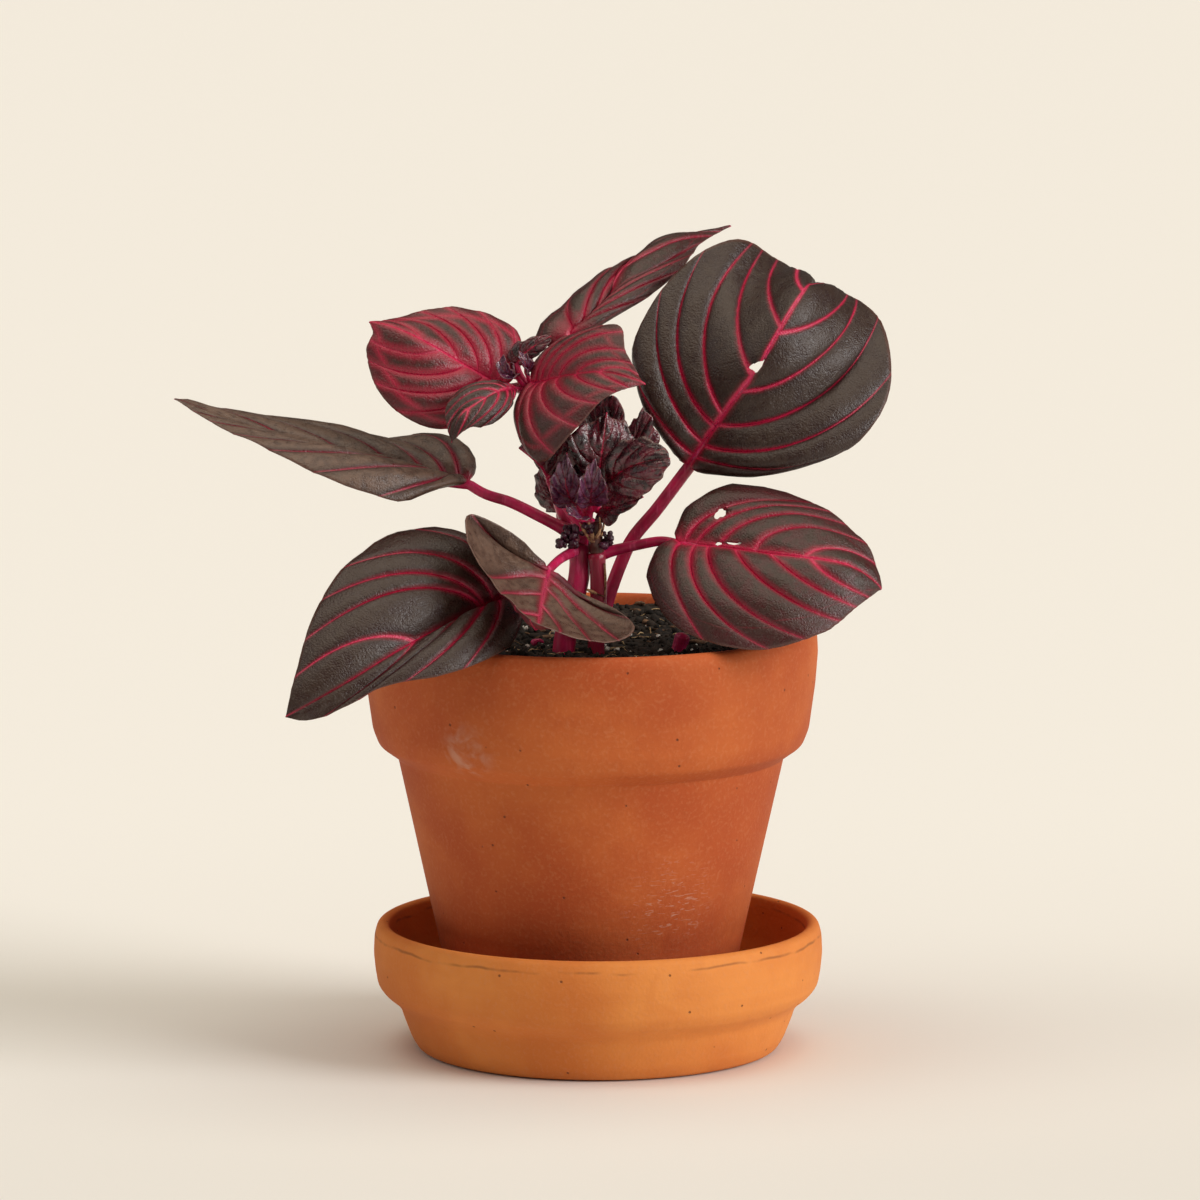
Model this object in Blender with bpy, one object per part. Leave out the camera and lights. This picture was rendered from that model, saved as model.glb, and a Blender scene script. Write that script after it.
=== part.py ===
"""Potted bloodleaf: a young Iresine in a 108 mm clay pot that stands in its clay saucer.

The plant's routes and outlines are lists of (x, y, z) points in millimetres, chosen by hand. The
origin is the middle of the saucer's underside, +Z is up, and the photo looks along +Y.

A leaf has a round stalk, a midrib, and a left and a right edge that run from the blade's base to
its tip, left and right as seen from its upper side with the tip ahead. Each half of the blade
spans from midrib to edge along its side veins. "arch" is how far the halves bulge upwards between
midrib and edge, left then right, from the base to the tip, as a share of the vein's length.
"""
import math

import bmesh
import bpy
import numpy as np

MM = 0.001
GAP = 0.3                 # clearance between pieces that touch

# Saucer and pot
SAUCER_FLOOR = 5.7        # height of the inside floor
SAUCER_FOOT = 41.0        # radius of the flat ring it stands on
SAUCER_RADIUS = 53.4
SAUCER_HEIGHT = 30.4
POT_X = -1.8              # the pot stands a little left of the saucer's middle
POT_BOTTOM = SAUCER_FLOOR + GAP
POT_TOP = 101.7
POT_RIM = 53.9            # rim radius: a 108 mm, four inch, pot
POT_BAND_BOTTOM = 70.5    # height where the rim band steps in to the body
POT_BASE_RADIUS = 32.0
POT_TAPER = 0.2153        # outside radius gained for each millimetre of height
POT_FLOOR = 12.0          # height of the inside floor
POT_FLOOR_RADIUS = 27.5
POT_LIP_RADIUS = 49.6     # inside radius at the lip
POT_LIP_HEIGHT = 100.0
DRAIN_RADIUS = 5.5
TURN_STEPS = 64

# Potting soil
SOIL_MIDDLE = 97.2        # height in the middle, it rises towards the wall
SOIL_RISE = 2.4
SOIL_LUMPS = 0.5          # height of its lumps
SOIL_ROUNDING = 0.6       # drop of its outermost edge
SOCKET_GAP = 0.3          # clearance round a stem that stands in the soil
SOCKET_DEPTH = 1.0        # how far a socket goes on below the stem

# Leaves and stems
BLADE = 0.8               # thickness of a leaf blade
RIDGE = 0.9               # depth of the midrib under the blade, as a share of the stalk's radius
VEIN_LEAN = 0.1           # near 0 the side veins start close to the leaf's base and lean far forward
SMALL_VEIN_LEAN = 0.3
VEIN_BOW = 0.13           # bow of the side veins near the tip, as a share of their length
BUD_EDGE_POINTS = 9
STALK_STEPS = 5
STEM_STEPS = 6
STEM_SIDES = 10
RIB_SHARES = (0.04, 0.12, 0.22, 0.34, 0.47, 0.60, 0.72, 0.83, 0.92, 0.975)
SMALL_RIB_SHARES = (0.08, 0.25, 0.48, 0.70, 0.88)
ACROSS = (0.12, 0.40, 0.72)
SMALL_ACROSS = (0.45,)

STEMS = {
    "stem_left": dict(
        path=[(-9.5, -20, 76), (-8, -19, 99), (-6.5, -18, 107.5), (-4.5, -16, 115.5),
            (-4.5, -15, 123.5)],
        radius=(2.9, 2.4)),
    "stem_right": dict(
        path=[(-1, -20, 76), (-0.5, -19, 99), (0, -18.5, 107.5), (0, -18, 116), (-0.5, -18, 122)],
        radius=(2.3, 1.9)),
    "side_shoot": dict(
        path=[(-5.5, -12.5, 124), (-8.5, -11, 131), (-11.5, -10.5, 141), (-14, -11, 151.5),
            (-16.5, -12, 159)],
        radius=(1.9, 1.1)),
    "crown_shoot": dict(
        path=[(-3.5, -15, 125), (-3, -16, 128), (-2.5, -18, 132)],
        radius=(1.7, 1.3)),
    "dried_stub": dict(
        path=[(-0.5, -18, 123), (-0.5, -18.5, 125.5), (0, -19.5, 129)],
        radius=(1.8, 1)),
    "cut_stub": dict(
        path=[(18, -26, 98), (19, -26, 100.5), (20, -26, 103.5)],
        radius=(1.4, 1.7)),
}

LEAVES = {
    "leaf_upper_right": dict(
        stalk=[(0, -6, 80), (0, -7, 99), (7, -5, 120.8), (14, -4, 129.8), (21.5, -5, 140)],
        midrib=[(21.5, -5, 140), (30.5, -10, 154.5), (37, -12, 163.5), (44.5, -8, 176), (49.5, 1, 182),
            (52.5, 24, 177)],
        left=[(20, -4, 147), (14, -3, 154), (8.2, -1, 163.5), (9, 0, 170.5), (15, 6, 180.5),
            (23.5, 12, 188.2), (33.5, 18, 191.2), (45.5, 27, 183.5)],
        right=[(32.5, -8, 140.7), (46, -13, 141.2), (58.7, -13, 145), (67.3, -8, 154.5), (69, 0, 164.5),
            (66, 10, 174.3), (58.5, 17, 178)],
        stalk_radius=(1.7, 1.5), arch=((0.12, 0.14, 0.06), (0.14, 0.16, 0.06))),
    "leaf_lower_right": dict(
        stalk=[(2.5, -16.5, 121.3), (10, -18.5, 123.3), (15, -21, 124.4), (18.5, -23, 124)],
        midrib=[(18.5, -23, 124), (28, -28, 124), (39, -32, 123), (50.5, -34, 122), (59, -33, 120),
            (66, -30, 114.3)],
        left=[(21, -19, 128.5), (23.5, -15, 133), (31, -13, 136.3), (38.5, -14, 136.3), (46, -16, 134.2),
            (55, -19, 130.5), (63.2, -25, 123)],
        right=[(13, -26, 121.3), (11.5, -31, 117), (14.8, -38, 110), (21.5, -43, 105.5),
            (36, -46, 102.5), (51.5, -44, 106), (61.2, -36, 112)],
        stalk_radius=(1.3, 1.1), arch=((0.08, 0.1, 0.1), (0.1, 0.12, 0.1))),
    "leaf_far_left": dict(
        stalk=[(-8.5, -15, 126.7), (-13.5, -15, 129.3), (-20.5, -14, 132.6), (-26.5, -14, 134.6),
            (-30.5, -14, 137)],
        midrib=[(-30.5, -14, 137), (-37, -15, 138), (-48.5, -16, 140.5), (-62.5, -17, 145),
            (-79, -16, 149.8), (-99.3, -13, 157)],
        left=[(-35, -20, 137.2), (-40.5, -26, 136.3), (-46, -31, 135), (-53, -33, 137.3),
            (-61, -34, 140), (-79.5, -27, 148), (-90.5, -19, 152.2)],
        right=[(-30, -5, 141.5), (-34.5, 2, 145.3), (-42, 5, 146.5), (-51.5, 6, 144.5), (-61, 5, 144.5),
            (-71.5, 1, 149.3), (-87.5, -8, 154)],
        stalk_radius=(1.4, 1.2), arch=((0.1, 0.1, 0), (0.12, 0.12, 0))),
    "leaf_upper_left": dict(
        stalk=[(-18.5, -11.5, 159.5), (-20.5, -12.5, 159.5), (-22.5, -14.5, 160)],
        midrib=[(-22.5, -14.5, 160), (-32, -18, 166), (-40, -20, 171), (-48, -19, 174.5),
            (-53.5, -17, 175.5)],
        left=[(-26.5, -19, 154.5), (-36, -22, 151), (-45, -24, 154), (-51.5, -23, 160.5),
            (-54, -20, 169), (-52.5, -18.5, 173)],
        right=[(-19.5, -11, 164), (-18, -8, 169.5), (-23, -7, 175), (-33.5, -9, 178), (-43.5, -12, 177),
            (-48.5, -14.5, 175.5)],
        stalk_radius=(1.1, 0.9), arch=((0.12, 0.12, 0.1), (0.12, 0.12, 0.1))),
    "leaf_small_dark": dict(
        stalk=[(-18, -14.5, 159), (-19.5, -19.5, 160)],
        midrib=[(-19.5, -19.5, 160), (-23, -24, 160), (-28.5, -29, 157.5), (-32, -31, 155),
            (-34, -32, 149)],
        left=[(-21, -25, 157), (-23, -28, 154), (-27, -31, 152.5), (-30, -32, 152.5)],
        right=[(-24, -22, 161), (-29, -24, 161.5), (-33, -26, 160), (-35.5, -30, 156)],
        stalk_radius=(0.8, 0.7), arch=((0.15, 0.15, 0.1), (0.15, 0.15, 0.1))),
    "leaf_young_right": dict(
        stalk=[(-15.5, -14.5, 159), (-15, -18, 161)],
        midrib=[(-15, -18, 161), (-7, -24, 163.5), (0.5, -29, 165), (7, -31, 164), (11, -31, 162.5)],
        left=[(-14, -16.5, 166), (-9.5, -16.5, 170.8), (-3, -17, 173.8), (5, -20, 174.8),
            (6.5, -26, 169.3)],
        right=[(-17.5, -19.5, 157.5), (-18.8, -22, 152), (-17, -28, 147), (-12.5, -34, 144.8),
            (-5.5, -37, 152.5), (2, -35, 160)],
        stalk_radius=(1, 0.9), arch=((0.12, 0.12, 0.1), (0.15, 0.15, 0.1))),
    "leaf_top": dict(
        stalk=[(-16, -9.5, 159), (-12.5, -4, 165), (-6.5, 2, 169.5)],
        midrib=[(-6.5, 2, 169.5), (1.5, 12, 176.6), (5.5, 19, 183.4), (11, 27, 187.2), (22, 37, 189.2),
            (32, 46, 191.8)],
        left=[(-13.5, 2, 167.5), (-14.7, 4, 170.5), (-8.2, 12, 176.6), (1.5, 21, 183.4), (15, 34, 188)],
        right=[(-1.5, 3, 171.3), (4.5, 6, 174.5), (13, 12, 179), (20.8, 22, 185), (24, 33, 188.3)],
        stalk_radius=(1.2, 1), arch=((0.08, 0.1, 0.1), (0.08, 0.1, 0.1))),
    "leaf_lower_left": dict(
        stalk=[(-8, -20.5, 110), (-13, -25, 110.5), (-18, -29, 111.5), (-22, -32, 112.5)],
        midrib=[(-22, -32, 112.5), (-35.5, -46, 108), (-47, -55, 103), (-58, -61, 97),
            (-71.6, -64, 89.8)],
        left=[(-18.5, -35, 108.5), (-19, -41, 104.5), (-25.5, -53, 101.5), (-36.5, -60, 98.5),
            (-47.5, -62, 97), (-59, -64, 91.5), (-66.5, -64, 89)],
        right=[(-21.5, -30, 118.5), (-28, -27, 125), (-38, -28, 128.7), (-49.8, -34, 126.8),
            (-61, -45, 118.8), (-67.1, -55, 107.2), (-70.2, -62, 95.5)],
        stalk_radius=(1.3, 1.2), arch=((0.12, 0.12, 0.05), (0.15, 0.15, 0.1))),
    "leaf_front": dict(
        stalk=[(-6, -18, 121.4), (-9, -24, 120.5), (-11.5, -31, 119)],
        midrib=[(-11.5, -31, 119), (-13, -43, 113.5), (-14, -55, 109), (-15.5, -62, 112)],
        left=[(-10, -32, 118), (-3, -33, 113.5), (4.5, -37, 110.5), (8.5, -43, 107), (3, -51, 105),
            (-6.5, -58, 107.5)],
        right=[(-13, -32, 121.7), (-21, -33, 128.8), (-29.3, -36, 132.8), (-31, -43, 130),
            (-27.5, -50, 123), (-21, -58, 116.5)],
        stalk_radius=(1.2, 1), arch=((-0.12, -0.15, -0.15), (-0.12, -0.15, -0.15))),
    "crown_leaf_upright": dict(
        stalk=[(-2, -19, 134), (-1, -20, 136.5), (0, -20.5, 139)],
        midrib=[(0, -20.5, 139), (1, -24, 147), (2, -23, 155)],
        left=[(-3, -22, 141), (-6, -25, 145), (-7, -25.5, 149.5), (-4, -24.5, 152), (-0.5, -23, 153)],
        right=[(3.5, -21, 141.5), (7, -21, 145.5), (8.5, -20.5, 148.5), (6.5, -21, 152),
            (3.5, -22, 153.5)],
        stalk_radius=(0.9, 0.8), arch=((0.15, 0.1, 0.1), (0.15, 0.1, 0.1))),
    "crown_leaf_back": dict(
        stalk=[(-2, -15.4, 132.2), (-1, -12, 135.5), (0.5, -10, 139.5)],
        midrib=[(0.5, -10, 139.5), (2.5, -9, 148.5), (3.5, -12, 157.5)],
        left=[(-3.5, -8, 144.5), (-4, -8, 151.5), (-1, -10.5, 156.5)],
        right=[(3.5, -8, 143.5), (6.5, -9, 150), (5.5, -11, 155)],
        stalk_radius=(0.9, 0.8), arch=((0.15, 0.1, 0.1), (0.15, 0.1, 0.1))),
    "crown_leaf_far_right": dict(
        stalk=[(-0.3, -16.8, 132.3), (2, -16.5, 135.5), (4, -16, 139)],
        midrib=[(4, -16, 139), (8.5, -17, 147.5), (10.5, -18, 155)],
        left=[(4, -15, 144), (7.5, -16, 151), (9.5, -18, 154)],
        right=[(8.5, -17, 142), (14, -17, 146.5), (13, -18, 152)],
        stalk_radius=(0.9, 0.8), arch=((0.15, 0.1, 0.1), (0.15, 0.1, 0.1))),
    "crown_leaf_right": dict(
        stalk=[(-0.9, -20.4, 132.9), (0.5, -22.5, 135), (1.5, -25, 138)],
        midrib=[(1.5, -25, 138), (8.5, -30, 143.5), (16.7, -32, 145.3)],
        left=[(1.5, -26, 143), (4.5, -27, 148), (9.5, -28, 149.5), (14.6, -30, 148.2)],
        right=[(4, -28, 136.2), (8.5, -32.5, 135.8), (12.8, -33, 138.8), (15.7, -33, 142.5)],
        stalk_radius=(0.9, 0.8), arch=((0.15, 0.15, 0.1), (0.15, 0.15, 0.1))),
    "crown_leaf_low": dict(
        stalk=[(0.5, -17, 130), (0.7, -18.3, 131), (1.2, -19.3, 131.8)],
        midrib=[(1.2, -19.3, 131.8), (5, -23.5, 133), (10.5, -26, 135.5)],
        left=[(2, -20, 135.5), (5.5, -22.5, 137.5), (9.7, -24.5, 137.8)],
        right=[(-0.3, -21, 129.3), (2, -23, 128.2), (5, -25, 130.8), (8.5, -26.3, 133.7)],
        stalk_radius=(0.8, 0.7), arch=((0.15, 0.15, 0.1), (0.15, 0.15, 0.1))),
    "crown_leaf_left": dict(
        stalk=[(-4.5, -19, 128), (-8, -18, 132.5), (-11.5, -18, 138)],
        midrib=[(-11.5, -18, 138), (-13.5, -21, 142), (-18.5, -22, 146.5)],
        left=[(-12.7, -17, 139.3), (-15.5, -18.5, 143.5), (-18, -20.5, 146)],
        right=[(-8.5, -20, 139.5), (-5, -22.5, 143.5), (-4.5, -23, 148), (-10, -23, 150),
            (-15.5, -22.5, 149)],
        stalk_radius=(0.9, 0.8), arch=((-0.1, -0.1, -0.1), (-0.1, -0.1, -0.1))),
    "crown_leaf_shaded": dict(
        stalk=[(-7.5, -9, 126), (-9, -7.5, 128), (-9, -7, 129.5)],
        midrib=[(-9, -7, 129.5), (-11.5, -4, 134), (-13, -4, 140)],
        left=[(-12.5, -5, 129.5), (-15, -3, 134), (-14.5, -3, 138)],
        right=[(-7.5, -6, 133), (-9, -5, 137.5), (-11, -4, 139.5)],
        stalk_radius=(0.9, 0.8), arch=((0.1, 0.1, 0.1), (0.1, 0.1, 0.1))),
    "crown_bud_left": dict(
        stalk=[(-4, -19, 130.5), (-4.5, -22.5, 132.5)],
        midrib=[(-5.2, -22.3, 133), (-7.4, -28, 138.5), (-7.2, -29, 146)],
        width=4.2, face=(-0.2, -0.9, 0.3), fold=20, stalk_radius=(0.7, 0.6)),
    "crown_bud_front": dict(
        stalk=[(-2, -20.3, 131.8), (-2, -25, 133.4)],
        midrib=[(-2, -25, 133.4), (-1.5, -30.5, 139.2), (-1, -31.5, 145)],
        width=4.4, face=(0.1, -0.85, 0.4), fold=30, stalk_radius=(0.7, 0.6)),
    "crown_bud_low": dict(
        stalk=[(-1.9, -18.5, 128.8), (-3.4, -24.5, 130)],
        midrib=[(-3.4, -24.5, 130), (-5.5, -29.5, 131.8), (-7.5, -31, 134)],
        width=2.7, face=(-0.1, -0.7, 0.6), fold=30, stalk_radius=(0.7, 0.6)),
    "tip_leaf_dark": dict(
        stalk=[(-17, -12.5, 160.5), (-18.5, -13.5, 163.5), (-19, -14, 165.5)],
        midrib=[(-19, -14, 165.5), (-16, -16, 169), (-11, -15.5, 172)],
        left=[(-21.5, -14, 167), (-18.5, -14.5, 170.5), (-13.5, -15, 172)],
        right=[(-17, -14.5, 165), (-14, -15.5, 167.5), (-11.5, -15.5, 170.5)],
        stalk_radius=(0.7, 0.6), arch=((0.1, 0.1, 0.1), (0.1, 0.1, 0.1))),
    "tip_leaf_left": dict(
        stalk=[(-17.8, -14.5, 160.5), (-19, -17, 162.5)],
        midrib=[(-19, -17, 162.5), (-21.7, -21, 164.5), (-22, -20.5, 168)],
        width=2.7, face=(-0.3, -0.7, 0.6), fold=40, stalk_radius=(0.6, 0.5)),
    "tip_leaf_right": dict(
        stalk=[(-15.9, -14.5, 161.2), (-16.7, -17, 163.4)],
        midrib=[(-16.7, -17, 163.4), (-17.1, -20, 166.3), (-18.2, -19.5, 168.8)],
        width=2.0, face=(0.2, -0.8, 0.5), fold=40, stalk_radius=(0.6, 0.5)),
}

ROOTED = ("stem_left", "stem_right", "cut_stub", "leaf_upper_right")

# Colours, read from the photo as linear values
CLAY = (0.46, 0.135, 0.045)
SAUCER_CLAY = (0.50, 0.17, 0.06)
SOIL = (0.012, 0.009, 0.007)
STEM_RED = (0.22, 0.008, 0.035)
DARK_LEAF = (0.045, 0.022, 0.019)
RED_LEAF = (0.13, 0.012, 0.018)
PURPLE_LEAF = (0.05, 0.008, 0.02)
DRY_BROWN = (0.16, 0.07, 0.035)
PINK = (0.50, 0.06, 0.20)
CLAY_ROUGHNESS = 0.85
SOIL_ROUGHNESS = 0.95
LEAF_ROUGHNESS = 0.38
STEM_ROUGHNESS = 0.40

LEAF_COLOURS = {
    "leaf_upper_left": RED_LEAF, "leaf_young_right": RED_LEAF, "crown_leaf_left": RED_LEAF,
    "crown_bud_left": PURPLE_LEAF, "crown_bud_front": PURPLE_LEAF, "crown_bud_low": PURPLE_LEAF,
    "tip_leaf_left": PURPLE_LEAF, "tip_leaf_right": PURPLE_LEAF,
}
STEM_COLOURS = {"dried_stub": DRY_BROWN, "cut_stub": PINK}


def material(name, colour, roughness):
    """Make a plain Principled material."""
    result = bpy.data.materials.new(name)
    result.use_nodes = True
    shader = result.node_tree.nodes["Principled BSDF"]
    shader.inputs["Base Color"].default_value = (*colour, 1.0)
    shader.inputs["Roughness"].default_value = roughness
    shader.inputs["Metallic"].default_value = 0.0
    return result


def mesh_object(name, points, faces, colour, roughness):
    """Make an object from points in millimetres and smooth its shading."""
    mesh = bpy.data.meshes.new(name)
    mesh.from_pydata([tuple(float(value) * MM for value in point) for point in points], [], faces)
    mesh.validate()
    mesh.shade_smooth()
    result = bpy.data.objects.new(name, mesh)
    bpy.context.scene.collection.objects.link(result)
    mesh.materials.append(material(name + "_material", colour, roughness))
    face_outwards(result)
    return result


def face_outwards(target):
    """Turn all faces of a closed mesh to the outside."""
    work = bmesh.new()
    work.from_mesh(target.data)
    bmesh.ops.recalc_face_normals(work, faces=work.faces)
    work.to_mesh(target.data)
    work.free()


def unit(vectors):
    """Scale vectors to length one."""
    lengths = np.linalg.norm(vectors, axis=-1, keepdims=True)
    return vectors / np.maximum(lengths, 1e-9)


def smooth_curve(points, shares):
    """Read a smooth curve through the points at shares of its length; it runs on straight outside 0..1."""
    points = np.asarray(points, float)
    shares = np.atleast_1d(np.asarray(shares, float))
    steps = np.linalg.norm(np.diff(points, axis=0), axis=1)
    knots = np.concatenate([[0.0], np.cumsum(steps)]) / steps.sum()
    slopes = np.empty_like(points)
    first = (points[1] - points[0]) / (knots[1] - knots[0])
    last = (points[-1] - points[-2]) / (knots[-1] - knots[-2])
    if len(points) > 2:
        slopes[1:-1] = (points[2:] - points[:-2]) / (knots[2:] - knots[:-2])[:, None]
        slopes[0] = 1.5 * first - 0.5 * slopes[1]
        slopes[-1] = 1.5 * last - 0.5 * slopes[-2]
    else:
        slopes[0] = first
        slopes[-1] = last
    inside = np.clip(shares, 0.0, 1.0)
    piece = np.clip(np.searchsorted(knots, inside, side="right") - 1, 0, len(knots) - 2)
    span = knots[piece + 1] - knots[piece]
    x = ((inside - knots[piece]) / span)[:, None]
    span = span[:, None]
    result = (2 * x**3 - 3 * x**2 + 1) * points[piece] + (x**3 - 2 * x**2 + x) * span * slopes[piece]
    result += (3 * x**2 - 2 * x**3) * points[piece + 1] + (x**3 - x**2) * span * slopes[piece + 1]
    result += np.minimum(shares, 0.0)[:, None] * slopes[0]
    result += np.maximum(shares - 1.0, 0.0)[:, None] * slopes[-1]
    return result


def direction(points, shares, step=0.02):
    """Direction of the smooth curve at shares of its length."""
    shares = np.atleast_1d(np.asarray(shares, float))
    return unit(smooth_curve(points, shares + step) - smooth_curve(points, shares - step))


def vein_start(share, lean):
    """Share of the midrib where the side vein that ends at this share of the edge starts."""
    return share * (lean + (1 - lean) * share**3)


def edges_from_width(leaf):
    """Left and right edge points of a bud leaf that is given by its width, face and fold."""
    shares = np.linspace(0.0, 1.0, BUD_EDGE_POINTS)
    middle = smooth_curve(leaf["midrib"], shares)
    ahead = direction(leaf["midrib"], shares)
    face = np.asarray(leaf["face"], float)
    up = unit(face - (ahead @ face)[:, None] * ahead)
    side = np.cross(ahead, up)
    width = (leaf["width"] * np.sin(np.pi * shares**0.75) ** 0.8)[:, None]
    fold = math.radians(leaf["fold"])
    rise = up * math.sin(fold)
    reach = side * math.cos(fold)
    return middle + (rise - reach) * width, middle + (rise + reach) * width


def edge_points(leaf):
    """Both edges of a leaf, from the blade's base to its tip."""
    if "width" in leaf:
        return edges_from_width(leaf)
    ends = leaf["midrib"][:1], leaf["midrib"][-1:]
    return [ends[0] + leaf[side] + ends[1] for side in ("left", "right")]


def half_blade(leaf, edge, sign, shares, across, lean):
    """Points of one half of a blade: a row for each share of the edge, from midrib to edge."""
    shares = np.asarray(shares, float)
    starts = vein_start(shares, lean)
    middle = smooth_curve(leaf["midrib"], starts)
    reach = smooth_curve(edge, shares) - middle
    ahead = direction(leaf["midrib"], starts)
    length = np.linalg.norm(reach, axis=1, keepdims=True)
    up = unit(np.cross(reach * sign, ahead))
    arches = leaf["arch"][0 if sign < 0 else 1] if "arch" in leaf else (0.0, 0.0)
    arch = np.interp(shares, np.linspace(0.0, 1.0, len(arches)), arches)[:, None]
    lift = up * arch * length - ahead * VEIN_BOW * length * shares[:, None]
    across = np.asarray(across, float)
    hump = 4 * across * (1 - across)
    rows = middle[:, None] + reach[:, None] * across[None, :, None] + lift[:, None] * hump[None, :, None]
    return rows


def blade_grid(leaf, shares, across, lean):
    """Blade points from the left edge over the midrib to the right edge, a row for each rib."""
    left_edge, right_edge = edge_points(leaf)
    steps = [0.0, *across, 1.0]
    left = half_blade(leaf, left_edge, -1, shares, steps, lean)
    right = half_blade(leaf, right_edge, 1, shares, steps, lean)
    return np.concatenate([left[:, :0:-1], right], axis=1)


def grid_normals(grid):
    """Normals of a grid of points, towards the leaf's upper face."""
    along = np.gradient(grid, axis=0)
    across = np.gradient(grid, axis=1)
    return unit(np.cross(across, along))


def stalk_rings(leaf, sides, base_up):
    """Round rings along the leaf stalk, turned so that they meet the blade without a twist."""
    shares = np.linspace(0.0, 1.0, STALK_STEPS + 1)
    middle = smooth_curve(leaf["stalk"], shares)
    ahead = direction(leaf["stalk"], shares)
    ups = [base_up]
    for index in range(STALK_STEPS, -1, -1):
        ups.insert(0, unit(ups[0] - (ups[0] @ ahead[index]) * ahead[index]))
    start, end = leaf["stalk_radius"]
    turn = np.linspace(0.0, 2 * math.pi, sides, endpoint=False)
    rings = []
    for index, share in enumerate(shares):
        side = np.cross(ahead[index], ups[index])
        radius = start + (end - start) * share
        ring = -np.cos(turn)[:, None] * side + np.sin(turn)[:, None] * ups[index]
        rings.append(middle[index] + radius * ring)
    return rings


def blade_rings(leaf, grid, shares):
    """Closed rings round the blade: over the top from left to right, and back underneath."""
    normals = grid_normals(grid)
    columns = grid.shape[1]
    centre = columns // 2
    half = np.full(columns, BLADE / 2)
    half[0] = half[-1] = 0.0
    rings = []
    for row, share in enumerate(shares):
        ridge = np.zeros(columns)
        ridge[centre] = RIDGE * leaf["stalk_radius"][1] * (1 - share)
        top = grid[row] + normals[row] * half[:, None]
        under = grid[row] - normals[row] * (half + ridge)[:, None]
        rings.append(np.concatenate([top, under[-2:0:-1]]))
    return rings


def loft(rings, tip):
    """Points and faces of a closed body through rings of equal count, from a flat end to a point."""
    count = len(rings[0])
    points = np.concatenate([*rings, [tip]])
    faces = [tuple(range(count))]
    for ring in range(len(rings) - 1):
        for step in range(count):
            following = (step + 1) % count
            low = ring * count
            faces.append((low + step, low + following, low + count + following, low + count + step))
    last = (len(rings) - 1) * count
    for step in range(count):
        faces.append((last + step, last + (step + 1) % count, len(points) - 1))
    return points, faces


def make_leaf(name, leaf):
    """One leaf: a round stalk that widens into a thin blade with a midrib ridge beneath."""
    small = name.startswith(("crown", "tip"))
    shares = np.array(SMALL_RIB_SHARES if small else RIB_SHARES)
    across = SMALL_ACROSS if small else ACROSS
    lean = SMALL_VEIN_LEAN if small else VEIN_LEAN
    grid = blade_grid(leaf, shares, across, lean)
    sides = 2 * (grid.shape[1] - 1)
    base_side = grid[0, -1] - grid[0, 0]
    base_ahead = direction(leaf["midrib"], 0.0)[0]
    base_up = unit(np.cross(base_side, base_ahead))
    rings = stalk_rings(leaf, sides, base_up) + blade_rings(leaf, grid, shares)
    points, faces = loft(rings, leaf["midrib"][-1])
    colour = LEAF_COLOURS.get(name, DARK_LEAF)
    return mesh_object(name, points, faces, colour, LEAF_ROUGHNESS)


def stem_rings(path, radius, sides, steps):
    """Round rings along a stem."""
    shares = np.linspace(0.0, 1.0, steps + 1)
    middle = smooth_curve(path, shares)
    ahead = direction(path, shares)
    side = unit(np.cross(ahead, (0.0, 1.0, 0.0)))
    other = np.cross(ahead, side)
    turn = np.linspace(0.0, 2 * math.pi, sides, endpoint=False)
    circle = np.cos(turn)[None, :, None] * side[:, None] + np.sin(turn)[None, :, None] * other[:, None]
    radii = radius[0] + (radius[1] - radius[0]) * shares
    return list(middle[:, None] + circle * radii[:, None, None])


def tube(rings):
    """Points and faces of a closed tube with flat ends."""
    points, faces = loft(rings, rings[-1][0])
    count = len(rings[0])
    faces = faces[:-count] + [tuple(range(len(points) - 1 - count, len(points) - 1))]
    return points[:-1], faces


def make_stem(name, stem):
    """One stem, shoot or stub."""
    points, faces = tube(stem_rings(stem["path"], stem["radius"], STEM_SIDES, STEM_STEPS))
    return mesh_object(name, points, faces, STEM_COLOURS.get(name, STEM_RED), STEM_ROUGHNESS)


def turned(name, profile, colour, centre_x, roughness):
    """Turn an open or closed profile of (radius, height) points round the vertical axis."""
    closed = profile[0][0] > 0
    points = []
    rows = []
    for radius, height in profile:
        if radius == 0:
            rows.append([len(points)])
            points.append((0.0, 0.0, height))
            continue
        rows.append(list(range(len(points), len(points) + TURN_STEPS)))
        for step in range(TURN_STEPS):
            angle = 2 * math.pi * step / TURN_STEPS
            points.append((radius * math.cos(angle), radius * math.sin(angle), height))
    pairs = list(zip(rows, rows[1:] + rows[:1] if closed else rows[1:]))
    faces = [face for low, high in pairs for face in band(low, high)]
    result = mesh_object(name, points, faces, colour, roughness)
    result.location.x = centre_x * MM
    return result


def band(low, high):
    """Faces between two rows of a turned body; a row of one point is its pole."""
    faces = []
    for step in range(TURN_STEPS):
        following = (step + 1) % TURN_STEPS
        if len(low) == 1:
            faces.append((low[0], high[following], high[step]))
        elif len(high) == 1:
            faces.append((low[step], low[following], high[0]))
        else:
            faces.append((low[step], low[following], high[following], high[step]))
    return faces


def body_radius(height):
    """Outside radius of the pot's tapered body."""
    return POT_BASE_RADIUS + (height - POT_BOTTOM) * POT_TAPER


def wall_radius(height):
    """Inside radius of the pot's wall."""
    share = (height - POT_FLOOR) / (POT_LIP_HEIGHT - POT_FLOOR)
    return POT_FLOOR_RADIUS + (POT_LIP_RADIUS - POT_FLOOR_RADIUS) * share


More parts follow.
